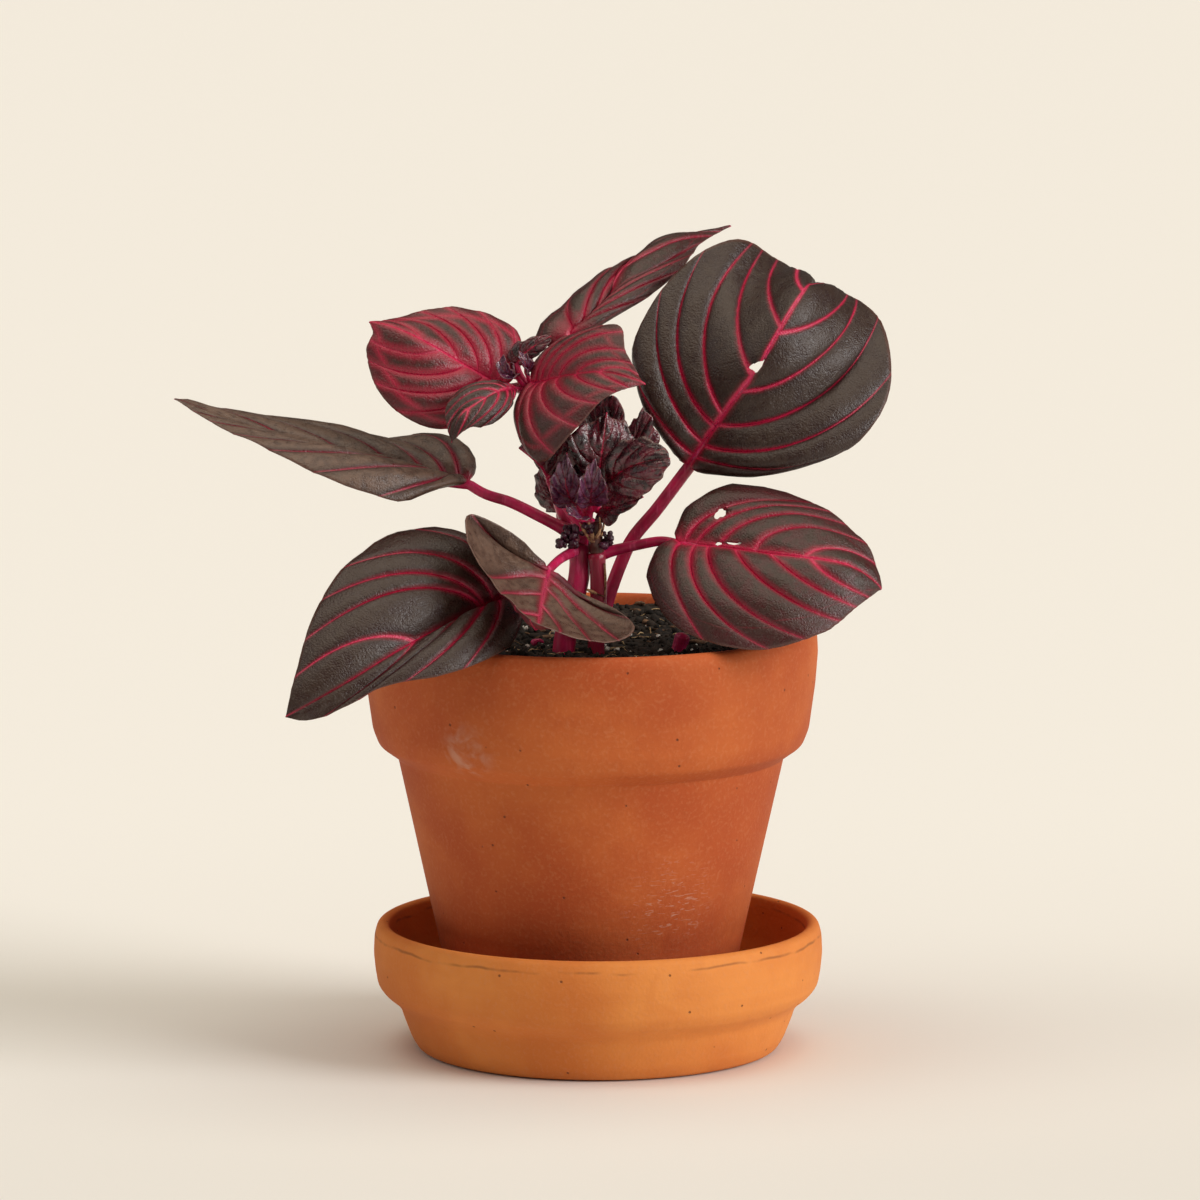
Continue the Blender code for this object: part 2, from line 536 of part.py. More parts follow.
def make_pot():
    """The clay pot, with its rim band, rolled lip and drain hole."""
    outside = [(DRAIN_RADIUS, POT_BOTTOM), (POT_BASE_RADIUS - 0.8, POT_BOTTOM)]
    outside += [(body_radius(height), height) for height in (POT_BOTTOM + 0.8, 40.0, POT_BAND_BOTTOM - 1)]
    step = [(46.2, 70.6), (48.3, 71.8), (50.7, 74.2), (51.7, 76.5)]
    rim = [(POT_RIM - 0.7, 88.0), (POT_RIM, 95.5), (POT_RIM - 0.3, 99.3), (POT_RIM - 1.2, 101.0)]
    lip = [(51.7, POT_TOP), (50.3, 101.3), (POT_LIP_RADIUS, POT_LIP_HEIGHT)]
    inside = [(wall_radius(height), height) for height in (60.0, POT_FLOOR)] + [(DRAIN_RADIUS, POT_FLOOR)]
    return turned("pot", outside + step + rim + lip + inside, CLAY, POT_X, CLAY_ROUGHNESS)


def make_saucer():
    """The clay saucer, with the same rim band as the pot."""
    foot = [(0.0, 0.0), (SAUCER_FOOT, 0.0), (42.8, 0.3), (43.9, 1.8)]
    body = [(46.2, 7.5), (47.0, 10.0), (48.5, 11.8), (50.5, 13.3), (52.2, 15.2)]
    rim = [(52.9, 18.0), (SAUCER_RADIUS, 22.5), (SAUCER_RADIUS - 0.3, 27.5), (52.3, 29.6)]
    lip = [(51.0, SAUCER_HEIGHT), (49.9, 29.8), (49.3, 28.0)]
    inside = [(47.8, 20.0), (45.2, 11.5), (43.0, 7.4), (40.0, SAUCER_FLOOR), (0.0, SAUCER_FLOOR)]
    return turned("saucer", foot + body + rim + lip + inside, SAUCER_CLAY, 0.0, CLAY_ROUGHNESS)


def make_soil():
    """The potting soil, dished in the middle and lumpy, with a socket for each stem in it."""
    floor = POT_FLOOR + GAP
    wall_gap = 1.5 * GAP
    profile = [(0.0, floor), (wall_radius(floor) - wall_gap, floor)]
    shares = (0.98, 0.8, 0.6, 0.4, 0.2)
    edge = wall_radius(SOIL_MIDDLE + SOIL_RISE) - wall_gap
    profile += [(edge, SOIL_MIDDLE + SOIL_RISE - SOIL_ROUNDING)]
    profile += [(edge * share, SOIL_MIDDLE + SOIL_RISE * share**2) for share in shares]
    profile += [(0.0, SOIL_MIDDLE)]
    soil = turned("soil", profile, SOIL, POT_X, SOIL_ROUGHNESS)
    for vertex in soil.data.vertices:
        x, y, z = (value / MM for value in vertex.co)
        if z > SOIL_MIDDLE - 1 and math.hypot(x, y) < edge - 1:
            vertex.co.z += SOIL_LUMPS * MM * (math.sin(0.61 * x + 1.3 * y) + math.cos(0.83 * x - 0.47 * y))
    return soil


def cut_socket(soil, name, path, radius, steps):
    """Cut the room for one stem into the soil."""
    wide = (radius[0] + SOCKET_GAP, radius[1] + SOCKET_GAP)
    rings = stem_rings(path, wide, STEM_SIDES, steps)
    downwards = unit(np.asarray(path[0], float) - np.asarray(path[1], float))
    rings.insert(0, rings[0] + downwards * SOCKET_DEPTH)
    points, faces = tube(rings)
    cutter = mesh_object("cutter_" + name, points, faces, SOIL, SOIL_ROUGHNESS)
    cutter.hide_render = True
    cutter.display_type = "WIRE"
    cut = soil.modifiers.new("socket_" + name, "BOOLEAN")
    cut.operation = "DIFFERENCE"
    cut.object = cutter


def clear_scene():
    """Remove the objects of the scene that the script starts in."""
    for old in list(bpy.data.objects):
        bpy.data.objects.remove(old, do_unlink=True)


def main():
    clear_scene()
    make_saucer()
    make_pot()
    soil = make_soil()
    for name, stem in STEMS.items():
        make_stem(name, stem)
        if name in ROOTED:
            cut_socket(soil, name, stem["path"], stem["radius"], STEM_STEPS)
    for name, leaf in LEAVES.items():
        make_leaf(name, leaf)
        if name in ROOTED:
            cut_socket(soil, name, leaf["stalk"], leaf["stalk_radius"], STALK_STEPS)


main()
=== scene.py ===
"""The looks of the potted bloodleaf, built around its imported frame.

Points are (x, y, z) in millimetres in the part's own frame: the origin is the middle of the
saucer's underside, +Z is up, and the photo looks along +Y. The routes and outlines of the stems
and leaves repeat those of the part.

A leaf has a stalk, a midrib, and a left and a right edge that run from the blade's base to its
tip, left and right as seen from its upper side with the tip ahead. Each half of the blade spans
from midrib to edge along its side veins. "arch" is how far the halves bulge upwards between
midrib and edge, left then right, from the base to the tip, as a share of the vein's length.
"""
import math

import bmesh
import bpy
import numpy as np
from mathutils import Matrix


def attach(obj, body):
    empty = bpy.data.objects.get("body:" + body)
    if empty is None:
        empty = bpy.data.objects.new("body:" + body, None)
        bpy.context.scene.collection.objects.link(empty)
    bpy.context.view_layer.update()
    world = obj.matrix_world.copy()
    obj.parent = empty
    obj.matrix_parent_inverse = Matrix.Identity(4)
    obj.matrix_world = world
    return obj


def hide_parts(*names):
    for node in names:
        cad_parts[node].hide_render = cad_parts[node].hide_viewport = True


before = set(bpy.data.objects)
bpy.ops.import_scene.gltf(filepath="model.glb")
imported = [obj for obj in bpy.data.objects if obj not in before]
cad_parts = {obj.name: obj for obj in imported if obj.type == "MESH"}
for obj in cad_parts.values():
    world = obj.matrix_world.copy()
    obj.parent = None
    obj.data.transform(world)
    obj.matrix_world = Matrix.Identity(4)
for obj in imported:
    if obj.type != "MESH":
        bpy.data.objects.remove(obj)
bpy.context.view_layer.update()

MM = 0.001
VEIN_LEAN = 0.1           # near 0 the side veins start close to the leaf's base and lean far forward
SMALL_VEIN_LEAN = 0.3
VEIN_BOW = 0.13           # bow of the side veins near the tip, as a share of their length
BUD_EDGE_POINTS = 9

# Camera, which stands where the photo was taken from, and lights
CAMERA_PLACE = (0.42, -1800.0, 373.6)
CAMERA_PITCH = 8.413      # degrees below level
CAMERA_LENS = 230.5
# Far soft boxes as suns: (degrees above level, degrees to the camera's right, degrees wide, power, colour)
LIGHTS = {
    "key": (24, 68, 34, 2.25, (1.0, 0.98, 0.95)),
    "top": (86, 0, 70, 1.85, (1.0, 0.90, 0.74)),
    "fill": (28, -74, 40, 0.35, (1.0, 0.97, 0.92)),
}
WORLD_COLOUR = (1.0, 0.93, 0.82)
WORLD_STRENGTH = 0.12
FLOOR_HEIGHT = -0.05
FLOOR_COLOUR = (0.90, 0.89, 0.87)
# Painted shade: the floor darkens towards the front
FLOOR_PAINTED_SHADE = (0.81, 0.80, 0.78)
FLOOR_FADE = (-0.20, 0.35)  # from the front, in shade, to the back

# Pot, saucer and soil
POT_X = -1.8              # the pot stands a little left of the saucer's middle
TURN_STEPS = 220
SAUCER_MIDDLE = 3.1       # radius of the flat faces in the middle of its floor
SOIL_MIDDLE = 97.2        # height in the middle, it rises towards the wall
SOIL_RISE = 2.4
SOIL_RADIUS = 48.9
SOIL_RINGS = 90
SOIL_STEPS = 300

# Fine shape of leaves and stems, in millimetres unless it says otherwise
FIRST_ROW = 0.03          # share along the edge where the blade's first and last rows lie
LAST_ROW = 0.998
BIG_COLUMNS = 38
SMALL_COLUMNS = 18
BIG_BETWEEN = (0.0, 0.035, 0.09, 0.18, 0.32, 0.5, 0.68, 0.82, 0.91, 0.965)
SMALL_BETWEEN = (0.0, 0.05, 0.13, 0.25, 0.38, 0.5, 0.62, 0.75, 0.87, 0.95)
THICKNESS = 0.38
PUFF = 0.17               # height of the blade between its veins, as a share of their distance
PUFF_WIDEST = 10.0
PUCKERS = ((5.0, 0.14), (2.4, 0.05))  # size and height of the small lumps between its small veins
YOUNG_PUCKERS = ((2.8, 0.55), (1.3, 0.22))  # the same for the crown's crumpled leaves
RUFFLE = 0.6
NIBBLE = 0.16
TEETH = 0.65              # size of the coarse teeth round the crown's leaves
LOOP_START = 0.80         # share across the half where a loop leaves a side vein for the next one
LOOP_RISE = 0.08
LOOP_WIDTH = 0.35         # half the width of the loops
VEIN_WIDTH = 0.72         # half the width of a large leaf's side veins
MIDRIB_WIDTH = 1.65       # half the width of its midrib's red line
MIDRIB_SHARE = 0.55       # radius of the midrib's start, as a share of the stalk's end
MIDRIB_TIP = 0.12
STALK_SIDES = 14
STALK_ROOT = 1.6          # how far a stalk runs into its stem
STALK_FLARE = 0.35
STEM_SIDES = 20
STEM_STEPS = 40
STEM_ROOT = {"side_shoot": 2.5, "crown_shoot": 2.0, "dried_stub": 1.5}
# Holes right through a leaf, as seen from the front: middle (x, z), reach sideways and upwards, slope
HOLES = {
    "leaf_upper_right": [((37.2, 164.4), (1.65, 1.05), 0.35)],
    "leaf_lower_right": [((28.5, 131.0), (1.45, 0.9), 0.35), ((28.1, 124.7), (0.8, 0.35), 0.1),
        ((31.6, 125.0), (2.1, 0.3), 0.0)],
}
GREY_LEAVES = ("leaf_far_left", "leaf_front")
# Clusters of small side buds: middle, how many, reach sideways and upwards
SIDE_BUDS = [((-7, -18.8, 125.2), 26, (3.0, 1.6, 3.2)), ((1.9, -19.2, 124.2), 14, (1.6, 1.2, 2.6)),
    ((-2.8, -19.6, 127.3), 12, (2.0, 1.6, 1.6)), ((-5, -20, 141), 24, (2.8, 1.2, 4.5))]
# Torn dry strips and a pink bit: look, radius, route
SCRAPS = [
    ("dry", 0.55, [(-1.2, -19.6, 124), (-1.8, -20.9, 127.5), (-2.8, -21.6, 130)]),
    ("dry", 0.60, [(-0.3, -19.8, 125), (0.5, -21.2, 127.5), (0.3, -22, 130.2)]),
    ("dry", 0.40, [(0.6, -19.7, 125.5), (1.3, -20.6, 128), (1, -21.2, 131)]),
    ("dry", 0.45, [(-1.8, -19.3, 124.2), (-3.2, -20.4, 126.6), (-4.4, -21.2, 128.8)]),
    ("dry", 0.35, [(1.5, -19.7, 119), (1.7, -19.6, 114.5), (1.4, -19.9, 110)]),
    ("dry", 0.50, [(-2.6, -20, 112.8), (-0.5, -20.5, 112), (1.3, -20, 111.2)]),
    ("pink", 0.70, [(-15.5, -13, 98.8), (-14, -13.5, 99.8), (-12.8, -13.5, 99.2)]),
]
LEAF_SLOTS = {"leaf_upper_left": "red_leaf", "leaf_young_right": "red_leaf", "crown_leaf_left": "red_leaf",
    "crown_bud_left": "purple_leaf", "crown_bud_front": "purple_leaf", "crown_bud_low": "purple_leaf",
    "tip_leaf_left": "purple_leaf", "tip_leaf_right": "purple_leaf"}

# Colours as linear values
CLAY_LIGHT = (0.555, 0.130, 0.027)
CLAY_DARK = (0.43, 0.074, 0.014)
# Damp clay and painted shade low on the pot
CLAY_DAMP_AND_SHADE = (0.27, 0.038, 0.010)
CLAY_PALE = (0.66, 0.29, 0.14)
CLAY_PIT = (0.12, 0.035, 0.015)
CLAY_SALT = (0.62, 0.42, 0.33)
SAUCER_LIGHT = (0.76, 0.27, 0.058)
SAUCER_DARK = (0.62, 0.175, 0.032)
SALT_SPOTS = [((22, -28, 14), 14, (1, 1, 1.6)), ((30, -30, 20), 10, (1, 1, 1)), ((-30, -42, 78), 9, (1, 1, 1))]
SCUFF_SPOT = ((18, -36, 40), 17, (1, 1, 1))
SOIL_BROWN = (0.030, 0.020, 0.014)
SOIL_BLACK = (0.008, 0.006, 0.005)
BARK_LIGHT = (0.20, 0.11, 0.06)
BARK_DARK = (0.06, 0.03, 0.018)
PERLITE = (0.75, 0.72, 0.66)
PERLITE_GREY = (0.45, 0.42, 0.38)
STRAW = (0.50, 0.36, 0.19)
STEM_RED = (0.66, 0.016, 0.115)
STEM_DARK = (0.32, 0.008, 0.050)
STEM_PALE = (0.80, 0.12, 0.28)
DRY_BROWN = (0.12, 0.032, 0.024)
SCRAP_TAN = (0.56, 0.32, 0.17)
DRY_DARK = (0.035, 0.010, 0.008)
DRY_PALE = (0.50, 0.28, 0.16)
STUB_PINK = (0.45, 0.05, 0.18)
STUB_PALE = (0.75, 0.30, 0.42)
LEAF_OLIVE = (0.037, 0.019, 0.013)
LEAF_GREY = (0.135, 0.080, 0.057)
YOUNG_DARK = (0.022, 0.006, 0.009)
YOUNG_RED = (0.115, 0.010, 0.024)
BUD_DARK = (0.055, 0.008, 0.035)
# Painted lilac highlight of the buds
BUD_LILAC_HIGHLIGHT = (0.16, 0.050, 0.11)
BUD_BLACK = (0.022, 0.006, 0.010)
BUD_PURPLE = (0.075, 0.012, 0.035)
STEM_MAROON = (0.34, 0.012, 0.045)
LEAF_BLACK = (0.013, 0.006, 0.005)
LEAF_CRIMSON = (0.115, 0.009, 0.017)
LEAF_RIM = (0.20, 0.09, 0.07)
LEAF_DUST = (0.30, 0.26, 0.23)
# Painted highlight: pink glints on the vein cores
VEIN_HIGHLIGHT_PINK = (0.68, 0.045, 0.15)
VEIN_RED = (0.54, 0.013, 0.070)
VEIN_DULL = (0.34, 0.030, 0.060)
VEIN_SEAM = (0.17, 0.008, 0.020)
VEIN_GLOW = (0.34, 0.014, 0.040)
UNDER_RED = (0.13, 0.014, 0.024)
UNDER_VEIN = (0.36, 0.03, 0.07)

STEMS = {
    "stem_left": dict(
        path=[(-9.5, -20, 76), (-8, -19, 99), (-6.5, -18, 107.5), (-4.5, -16, 115.5),
            (-4.5, -15, 123.5)],
        radius=(2.9, 2.4)),
    "stem_right": dict(
        path=[(-1, -20, 76), (-0.5, -19, 99), (0, -18.5, 107.5), (0, -18, 116), (-0.5, -18, 122)],
        radius=(2.3, 1.9)),
    "side_shoot": dict(
        path=[(-5.5, -12.5, 124), (-8.5, -11, 131), (-11.5, -10.5, 141), (-14, -11, 151.5),
            (-16.5, -12, 159)],
        radius=(1.9, 1.1)),
    "crown_shoot": dict(
        path=[(-3.5, -15, 125), (-3, -16, 128), (-2.5, -18, 132)],
        radius=(1.7, 1.3)),
    "dried_stub": dict(
        path=[(-0.5, -18, 123), (-0.5, -18.5, 125.5), (0, -19.5, 129)],
        radius=(1.8, 1)),
    "cut_stub": dict(
        path=[(18, -26, 98), (19, -26, 100.5), (20, -26, 103.5)],
        radius=(1.4, 1.7)),
}

LEAVES = {
    "leaf_upper_right": dict(
        stalk=[(0, -6, 80), (0, -7, 99), (7, -5, 120.8), (14, -4, 129.8), (21.5, -5, 140)],
        midrib=[(21.5, -5, 140), (30.5, -10, 154.5), (37, -12, 163.5), (44.5, -8, 176), (49.5, 1, 182),
            (52.5, 24, 177)],
        left=[(20, -4, 147), (14, -3, 154), (8.2, -1, 163.5), (9, 0, 170.5), (15, 6, 180.5),
            (23.5, 12, 188.2), (33.5, 18, 191.2), (45.5, 27, 183.5)],
        right=[(32.5, -8, 140.7), (46, -13, 141.2), (58.7, -13, 145), (67.3, -8, 154.5), (69, 0, 164.5),
            (66, 10, 174.3), (58.5, 17, 178)],
        stalk_radius=(1.7, 1.5), arch=((0.12, 0.14, 0.06), (0.14, 0.16, 0.06))),
    "leaf_lower_right": dict(
        stalk=[(2.5, -16.5, 121.3), (10, -18.5, 123.3), (15, -21, 124.4), (18.5, -23, 124)],
        midrib=[(18.5, -23, 124), (28, -28, 124), (39, -32, 123), (50.5, -34, 122), (59, -33, 120),
            (66, -30, 114.3)],
        left=[(21, -19, 128.5), (23.5, -15, 133), (31, -13, 136.3), (38.5, -14, 136.3), (46, -16, 134.2),
            (55, -19, 130.5), (63.2, -25, 123)],
        right=[(13, -26, 121.3), (11.5, -31, 117), (14.8, -38, 110), (21.5, -43, 105.5),
            (36, -46, 102.5), (51.5, -44, 106), (61.2, -36, 112)],
        stalk_radius=(1.3, 1.1), arch=((0.08, 0.1, 0.1), (0.1, 0.12, 0.1))),
    "leaf_far_left": dict(
        stalk=[(-8.5, -15, 126.7), (-13.5, -15, 129.3), (-20.5, -14, 132.6), (-26.5, -14, 134.6),
            (-30.5, -14, 137)],
        midrib=[(-30.5, -14, 137), (-37, -15, 138), (-48.5, -16, 140.5), (-62.5, -17, 145),
            (-79, -16, 149.8), (-99.3, -13, 157)],
        left=[(-35, -20, 137.2), (-40.5, -26, 136.3), (-46, -31, 135), (-53, -33, 137.3),
            (-61, -34, 140), (-79.5, -27, 148), (-90.5, -19, 152.2)],
        right=[(-30, -5, 141.5), (-34.5, 2, 145.3), (-42, 5, 146.5), (-51.5, 6, 144.5), (-61, 5, 144.5),
            (-71.5, 1, 149.3), (-87.5, -8, 154)],
        stalk_radius=(1.4, 1.2), arch=((0.1, 0.1, 0), (0.12, 0.12, 0))),
    "leaf_upper_left": dict(
        stalk=[(-18.5, -11.5, 159.5), (-20.5, -12.5, 159.5), (-22.5, -14.5, 160)],
        midrib=[(-22.5, -14.5, 160), (-32, -18, 166), (-40, -20, 171), (-48, -19, 174.5),
            (-53.5, -17, 175.5)],
        left=[(-26.5, -19, 154.5), (-36, -22, 151), (-45, -24, 154), (-51.5, -23, 160.5),
            (-54, -20, 169), (-52.5, -18.5, 173)],
        right=[(-19.5, -11, 164), (-18, -8, 169.5), (-23, -7, 175), (-33.5, -9, 178), (-43.5, -12, 177),
            (-48.5, -14.5, 175.5)],
        stalk_radius=(1.1, 0.9), arch=((0.12, 0.12, 0.1), (0.12, 0.12, 0.1))),
    "leaf_small_dark": dict(
        stalk=[(-18, -14.5, 159), (-19.5, -19.5, 160)],
        midrib=[(-19.5, -19.5, 160), (-23, -24, 160), (-28.5, -29, 157.5), (-32, -31, 155),
            (-34, -32, 149)],
        left=[(-21, -25, 157), (-23, -28, 154), (-27, -31, 152.5), (-30, -32, 152.5)],
        right=[(-24, -22, 161), (-29, -24, 161.5), (-33, -26, 160), (-35.5, -30, 156)],
        stalk_radius=(0.8, 0.7), arch=((0.15, 0.15, 0.1), (0.15, 0.15, 0.1))),
    "leaf_young_right": dict(
        stalk=[(-15.5, -14.5, 159), (-15, -18, 161)],
        midrib=[(-15, -18, 161), (-7, -24, 163.5), (0.5, -29, 165), (7, -31, 164), (11, -31, 162.5)],
        left=[(-14, -16.5, 166), (-9.5, -16.5, 170.8), (-3, -17, 173.8), (5, -20, 174.8),
            (6.5, -26, 169.3)],
        right=[(-17.5, -19.5, 157.5), (-18.8, -22, 152), (-17, -28, 147), (-12.5, -34, 144.8),
            (-5.5, -37, 152.5), (2, -35, 160)],
        stalk_radius=(1, 0.9), arch=((0.12, 0.12, 0.1), (0.15, 0.15, 0.1))),
    "leaf_top": dict(
        stalk=[(-16, -9.5, 159), (-12.5, -4, 165), (-6.5, 2, 169.5)],
        midrib=[(-6.5, 2, 169.5), (1.5, 12, 176.6), (5.5, 19, 183.4), (11, 27, 187.2), (22, 37, 189.2),
            (32, 46, 191.8)],
        left=[(-13.5, 2, 167.5), (-14.7, 4, 170.5), (-8.2, 12, 176.6), (1.5, 21, 183.4), (15, 34, 188)],
        right=[(-1.5, 3, 171.3), (4.5, 6, 174.5), (13, 12, 179), (20.8, 22, 185), (24, 33, 188.3)],
        stalk_radius=(1.2, 1), arch=((0.08, 0.1, 0.1), (0.08, 0.1, 0.1))),
    "leaf_lower_left": dict(
        stalk=[(-8, -20.5, 110), (-13, -25, 110.5), (-18, -29, 111.5), (-22, -32, 112.5)],
        midrib=[(-22, -32, 112.5), (-35.5, -46, 108), (-47, -55, 103), (-58, -61, 97),
            (-71.6, -64, 89.8)],
        left=[(-18.5, -35, 108.5), (-19, -41, 104.5), (-25.5, -53, 101.5), (-36.5, -60, 98.5),
            (-47.5, -62, 97), (-59, -64, 91.5), (-66.5, -64, 89)],
        right=[(-21.5, -30, 118.5), (-28, -27, 125), (-38, -28, 128.7), (-49.8, -34, 126.8),
            (-61, -45, 118.8), (-67.1, -55, 107.2), (-70.2, -62, 95.5)],
        stalk_radius=(1.3, 1.2), arch=((0.12, 0.12, 0.05), (0.15, 0.15, 0.1))),
    "leaf_front": dict(
        stalk=[(-6, -18, 121.4), (-9, -24, 120.5), (-11.5, -31, 119)],
        midrib=[(-11.5, -31, 119), (-13, -43, 113.5), (-14, -55, 109), (-15.5, -62, 112)],
        left=[(-10, -32, 118), (-3, -33, 113.5), (4.5, -37, 110.5), (8.5, -43, 107), (3, -51, 105),
            (-6.5, -58, 107.5)],
        right=[(-13, -32, 121.7), (-21, -33, 128.8), (-29.3, -36, 132.8), (-31, -43, 130),
            (-27.5, -50, 123), (-21, -58, 116.5)],
        stalk_radius=(1.2, 1), arch=((-0.12, -0.15, -0.15), (-0.12, -0.15, -0.15))),
    "crown_leaf_upright": dict(
        stalk=[(-2, -19, 134), (-1, -20, 136.5), (0, -20.5, 139)],
        midrib=[(0, -20.5, 139), (1, -24, 147), (2, -23, 155)],
        left=[(-3, -22, 141), (-6, -25, 145), (-7, -25.5, 149.5), (-4, -24.5, 152), (-0.5, -23, 153)],
        right=[(3.5, -21, 141.5), (7, -21, 145.5), (8.5, -20.5, 148.5), (6.5, -21, 152),
            (3.5, -22, 153.5)],
        stalk_radius=(0.9, 0.8), arch=((0.15, 0.1, 0.1), (0.15, 0.1, 0.1))),
    "crown_leaf_back": dict(
        stalk=[(-2, -15.4, 132.2), (-1, -12, 135.5), (0.5, -10, 139.5)],
        midrib=[(0.5, -10, 139.5), (2.5, -9, 148.5), (3.5, -12, 157.5)],
        left=[(-3.5, -8, 144.5), (-4, -8, 151.5), (-1, -10.5, 156.5)],
        right=[(3.5, -8, 143.5), (6.5, -9, 150), (5.5, -11, 155)],
        stalk_radius=(0.9, 0.8), arch=((0.15, 0.1, 0.1), (0.15, 0.1, 0.1))),
    "crown_leaf_far_right": dict(
        stalk=[(-0.3, -16.8, 132.3), (2, -16.5, 135.5), (4, -16, 139)],
        midrib=[(4, -16, 139), (8.5, -17, 147.5), (10.5, -18, 155)],
        left=[(4, -15, 144), (7.5, -16, 151), (9.5, -18, 154)],
        right=[(8.5, -17, 142), (14, -17, 146.5), (13, -18, 152)],
        stalk_radius=(0.9, 0.8), arch=((0.15, 0.1, 0.1), (0.15, 0.1, 0.1))),
    "crown_leaf_right": dict(
        stalk=[(-0.9, -20.4, 132.9), (0.5, -22.5, 135), (1.5, -25, 138)],
        midrib=[(1.5, -25, 138), (8.5, -30, 143.5), (16.7, -32, 145.3)],
        left=[(1.5, -26, 143), (4.5, -27, 148), (9.5, -28, 149.5), (14.6, -30, 148.2)],
        right=[(4, -28, 136.2), (8.5, -32.5, 135.8), (12.8, -33, 138.8), (15.7, -33, 142.5)],
        stalk_radius=(0.9, 0.8), arch=((0.15, 0.15, 0.1), (0.15, 0.15, 0.1))),
    "crown_leaf_low": dict(
        stalk=[(0.5, -17, 130), (0.7, -18.3, 131), (1.2, -19.3, 131.8)],
        midrib=[(1.2, -19.3, 131.8), (5, -23.5, 133), (10.5, -26, 135.5)],
        left=[(2, -20, 135.5), (5.5, -22.5, 137.5), (9.7, -24.5, 137.8)],
        right=[(-0.3, -21, 129.3), (2, -23, 128.2), (5, -25, 130.8), (8.5, -26.3, 133.7)],
        stalk_radius=(0.8, 0.7), arch=((0.15, 0.15, 0.1), (0.15, 0.15, 0.1))),
    "crown_leaf_left": dict(
        stalk=[(-4.5, -19, 128), (-8, -18, 132.5), (-11.5, -18, 138)],
        midrib=[(-11.5, -18, 138), (-13.5, -21, 142), (-18.5, -22, 146.5)],
        left=[(-12.7, -17, 139.3), (-15.5, -18.5, 143.5), (-18, -20.5, 146)],
        right=[(-8.5, -20, 139.5), (-5, -22.5, 143.5), (-4.5, -23, 148), (-10, -23, 150),
            (-15.5, -22.5, 149)],
        stalk_radius=(0.9, 0.8), arch=((-0.1, -0.1, -0.1), (-0.1, -0.1, -0.1))),
    "crown_leaf_shaded": dict(
        stalk=[(-7.5, -9, 126), (-9, -7.5, 128), (-9, -7, 129.5)],
        midrib=[(-9, -7, 129.5), (-11.5, -4, 134), (-13, -4, 140)],
        left=[(-12.5, -5, 129.5), (-15, -3, 134), (-14.5, -3, 138)],
        right=[(-7.5, -6, 133), (-9, -5, 137.5), (-11, -4, 139.5)],
        stalk_radius=(0.9, 0.8), arch=((0.1, 0.1, 0.1), (0.1, 0.1, 0.1))),
    "crown_bud_left": dict(
        stalk=[(-4, -19, 130.5), (-4.5, -22.5, 132.5)],
        midrib=[(-5.2, -22.3, 133), (-7.4, -28, 138.5), (-7.2, -29, 146)],
        width=4.2, face=(-0.2, -0.9, 0.3), fold=20, stalk_radius=(0.7, 0.6)),
    "crown_bud_front": dict(
        stalk=[(-2, -20.3, 131.8), (-2, -25, 133.4)],
        midrib=[(-2, -25, 133.4), (-1.5, -30.5, 139.2), (-1, -31.5, 145)],
        width=4.4, face=(0.1, -0.85, 0.4), fold=30, stalk_radius=(0.7, 0.6)),
    "crown_bud_low": dict(
        stalk=[(-1.9, -18.5, 128.8), (-3.4, -24.5, 130)],
        midrib=[(-3.4, -24.5, 130), (-5.5, -29.5, 131.8), (-7.5, -31, 134)],
        width=2.7, face=(-0.1, -0.7, 0.6), fold=30, stalk_radius=(0.7, 0.6)),
    "tip_leaf_dark": dict(
        stalk=[(-17, -12.5, 160.5), (-18.5, -13.5, 163.5), (-19, -14, 165.5)],
        midrib=[(-19, -14, 165.5), (-16, -16, 169), (-11, -15.5, 172)],
        left=[(-21.5, -14, 167), (-18.5, -14.5, 170.5), (-13.5, -15, 172)],
        right=[(-17, -14.5, 165), (-14, -15.5, 167.5), (-11.5, -15.5, 170.5)],
        stalk_radius=(0.7, 0.6), arch=((0.1, 0.1, 0.1), (0.1, 0.1, 0.1))),
    "tip_leaf_left": dict(
        stalk=[(-17.8, -14.5, 160.5), (-19, -17, 162.5)],
        midrib=[(-19, -17, 162.5), (-21.7, -21, 164.5), (-22, -20.5, 168)],
        width=2.7, face=(-0.3, -0.7, 0.6), fold=40, stalk_radius=(0.6, 0.5)),
    "tip_leaf_right": dict(
        stalk=[(-15.9, -14.5, 161.2), (-16.7, -17, 163.4)],
        midrib=[(-16.7, -17, 163.4), (-17.1, -20, 166.3), (-18.2, -19.5, 168.8)],
        width=2.0, face=(0.2, -0.8, 0.5), fold=40, stalk_radius=(0.6, 0.5)),
}

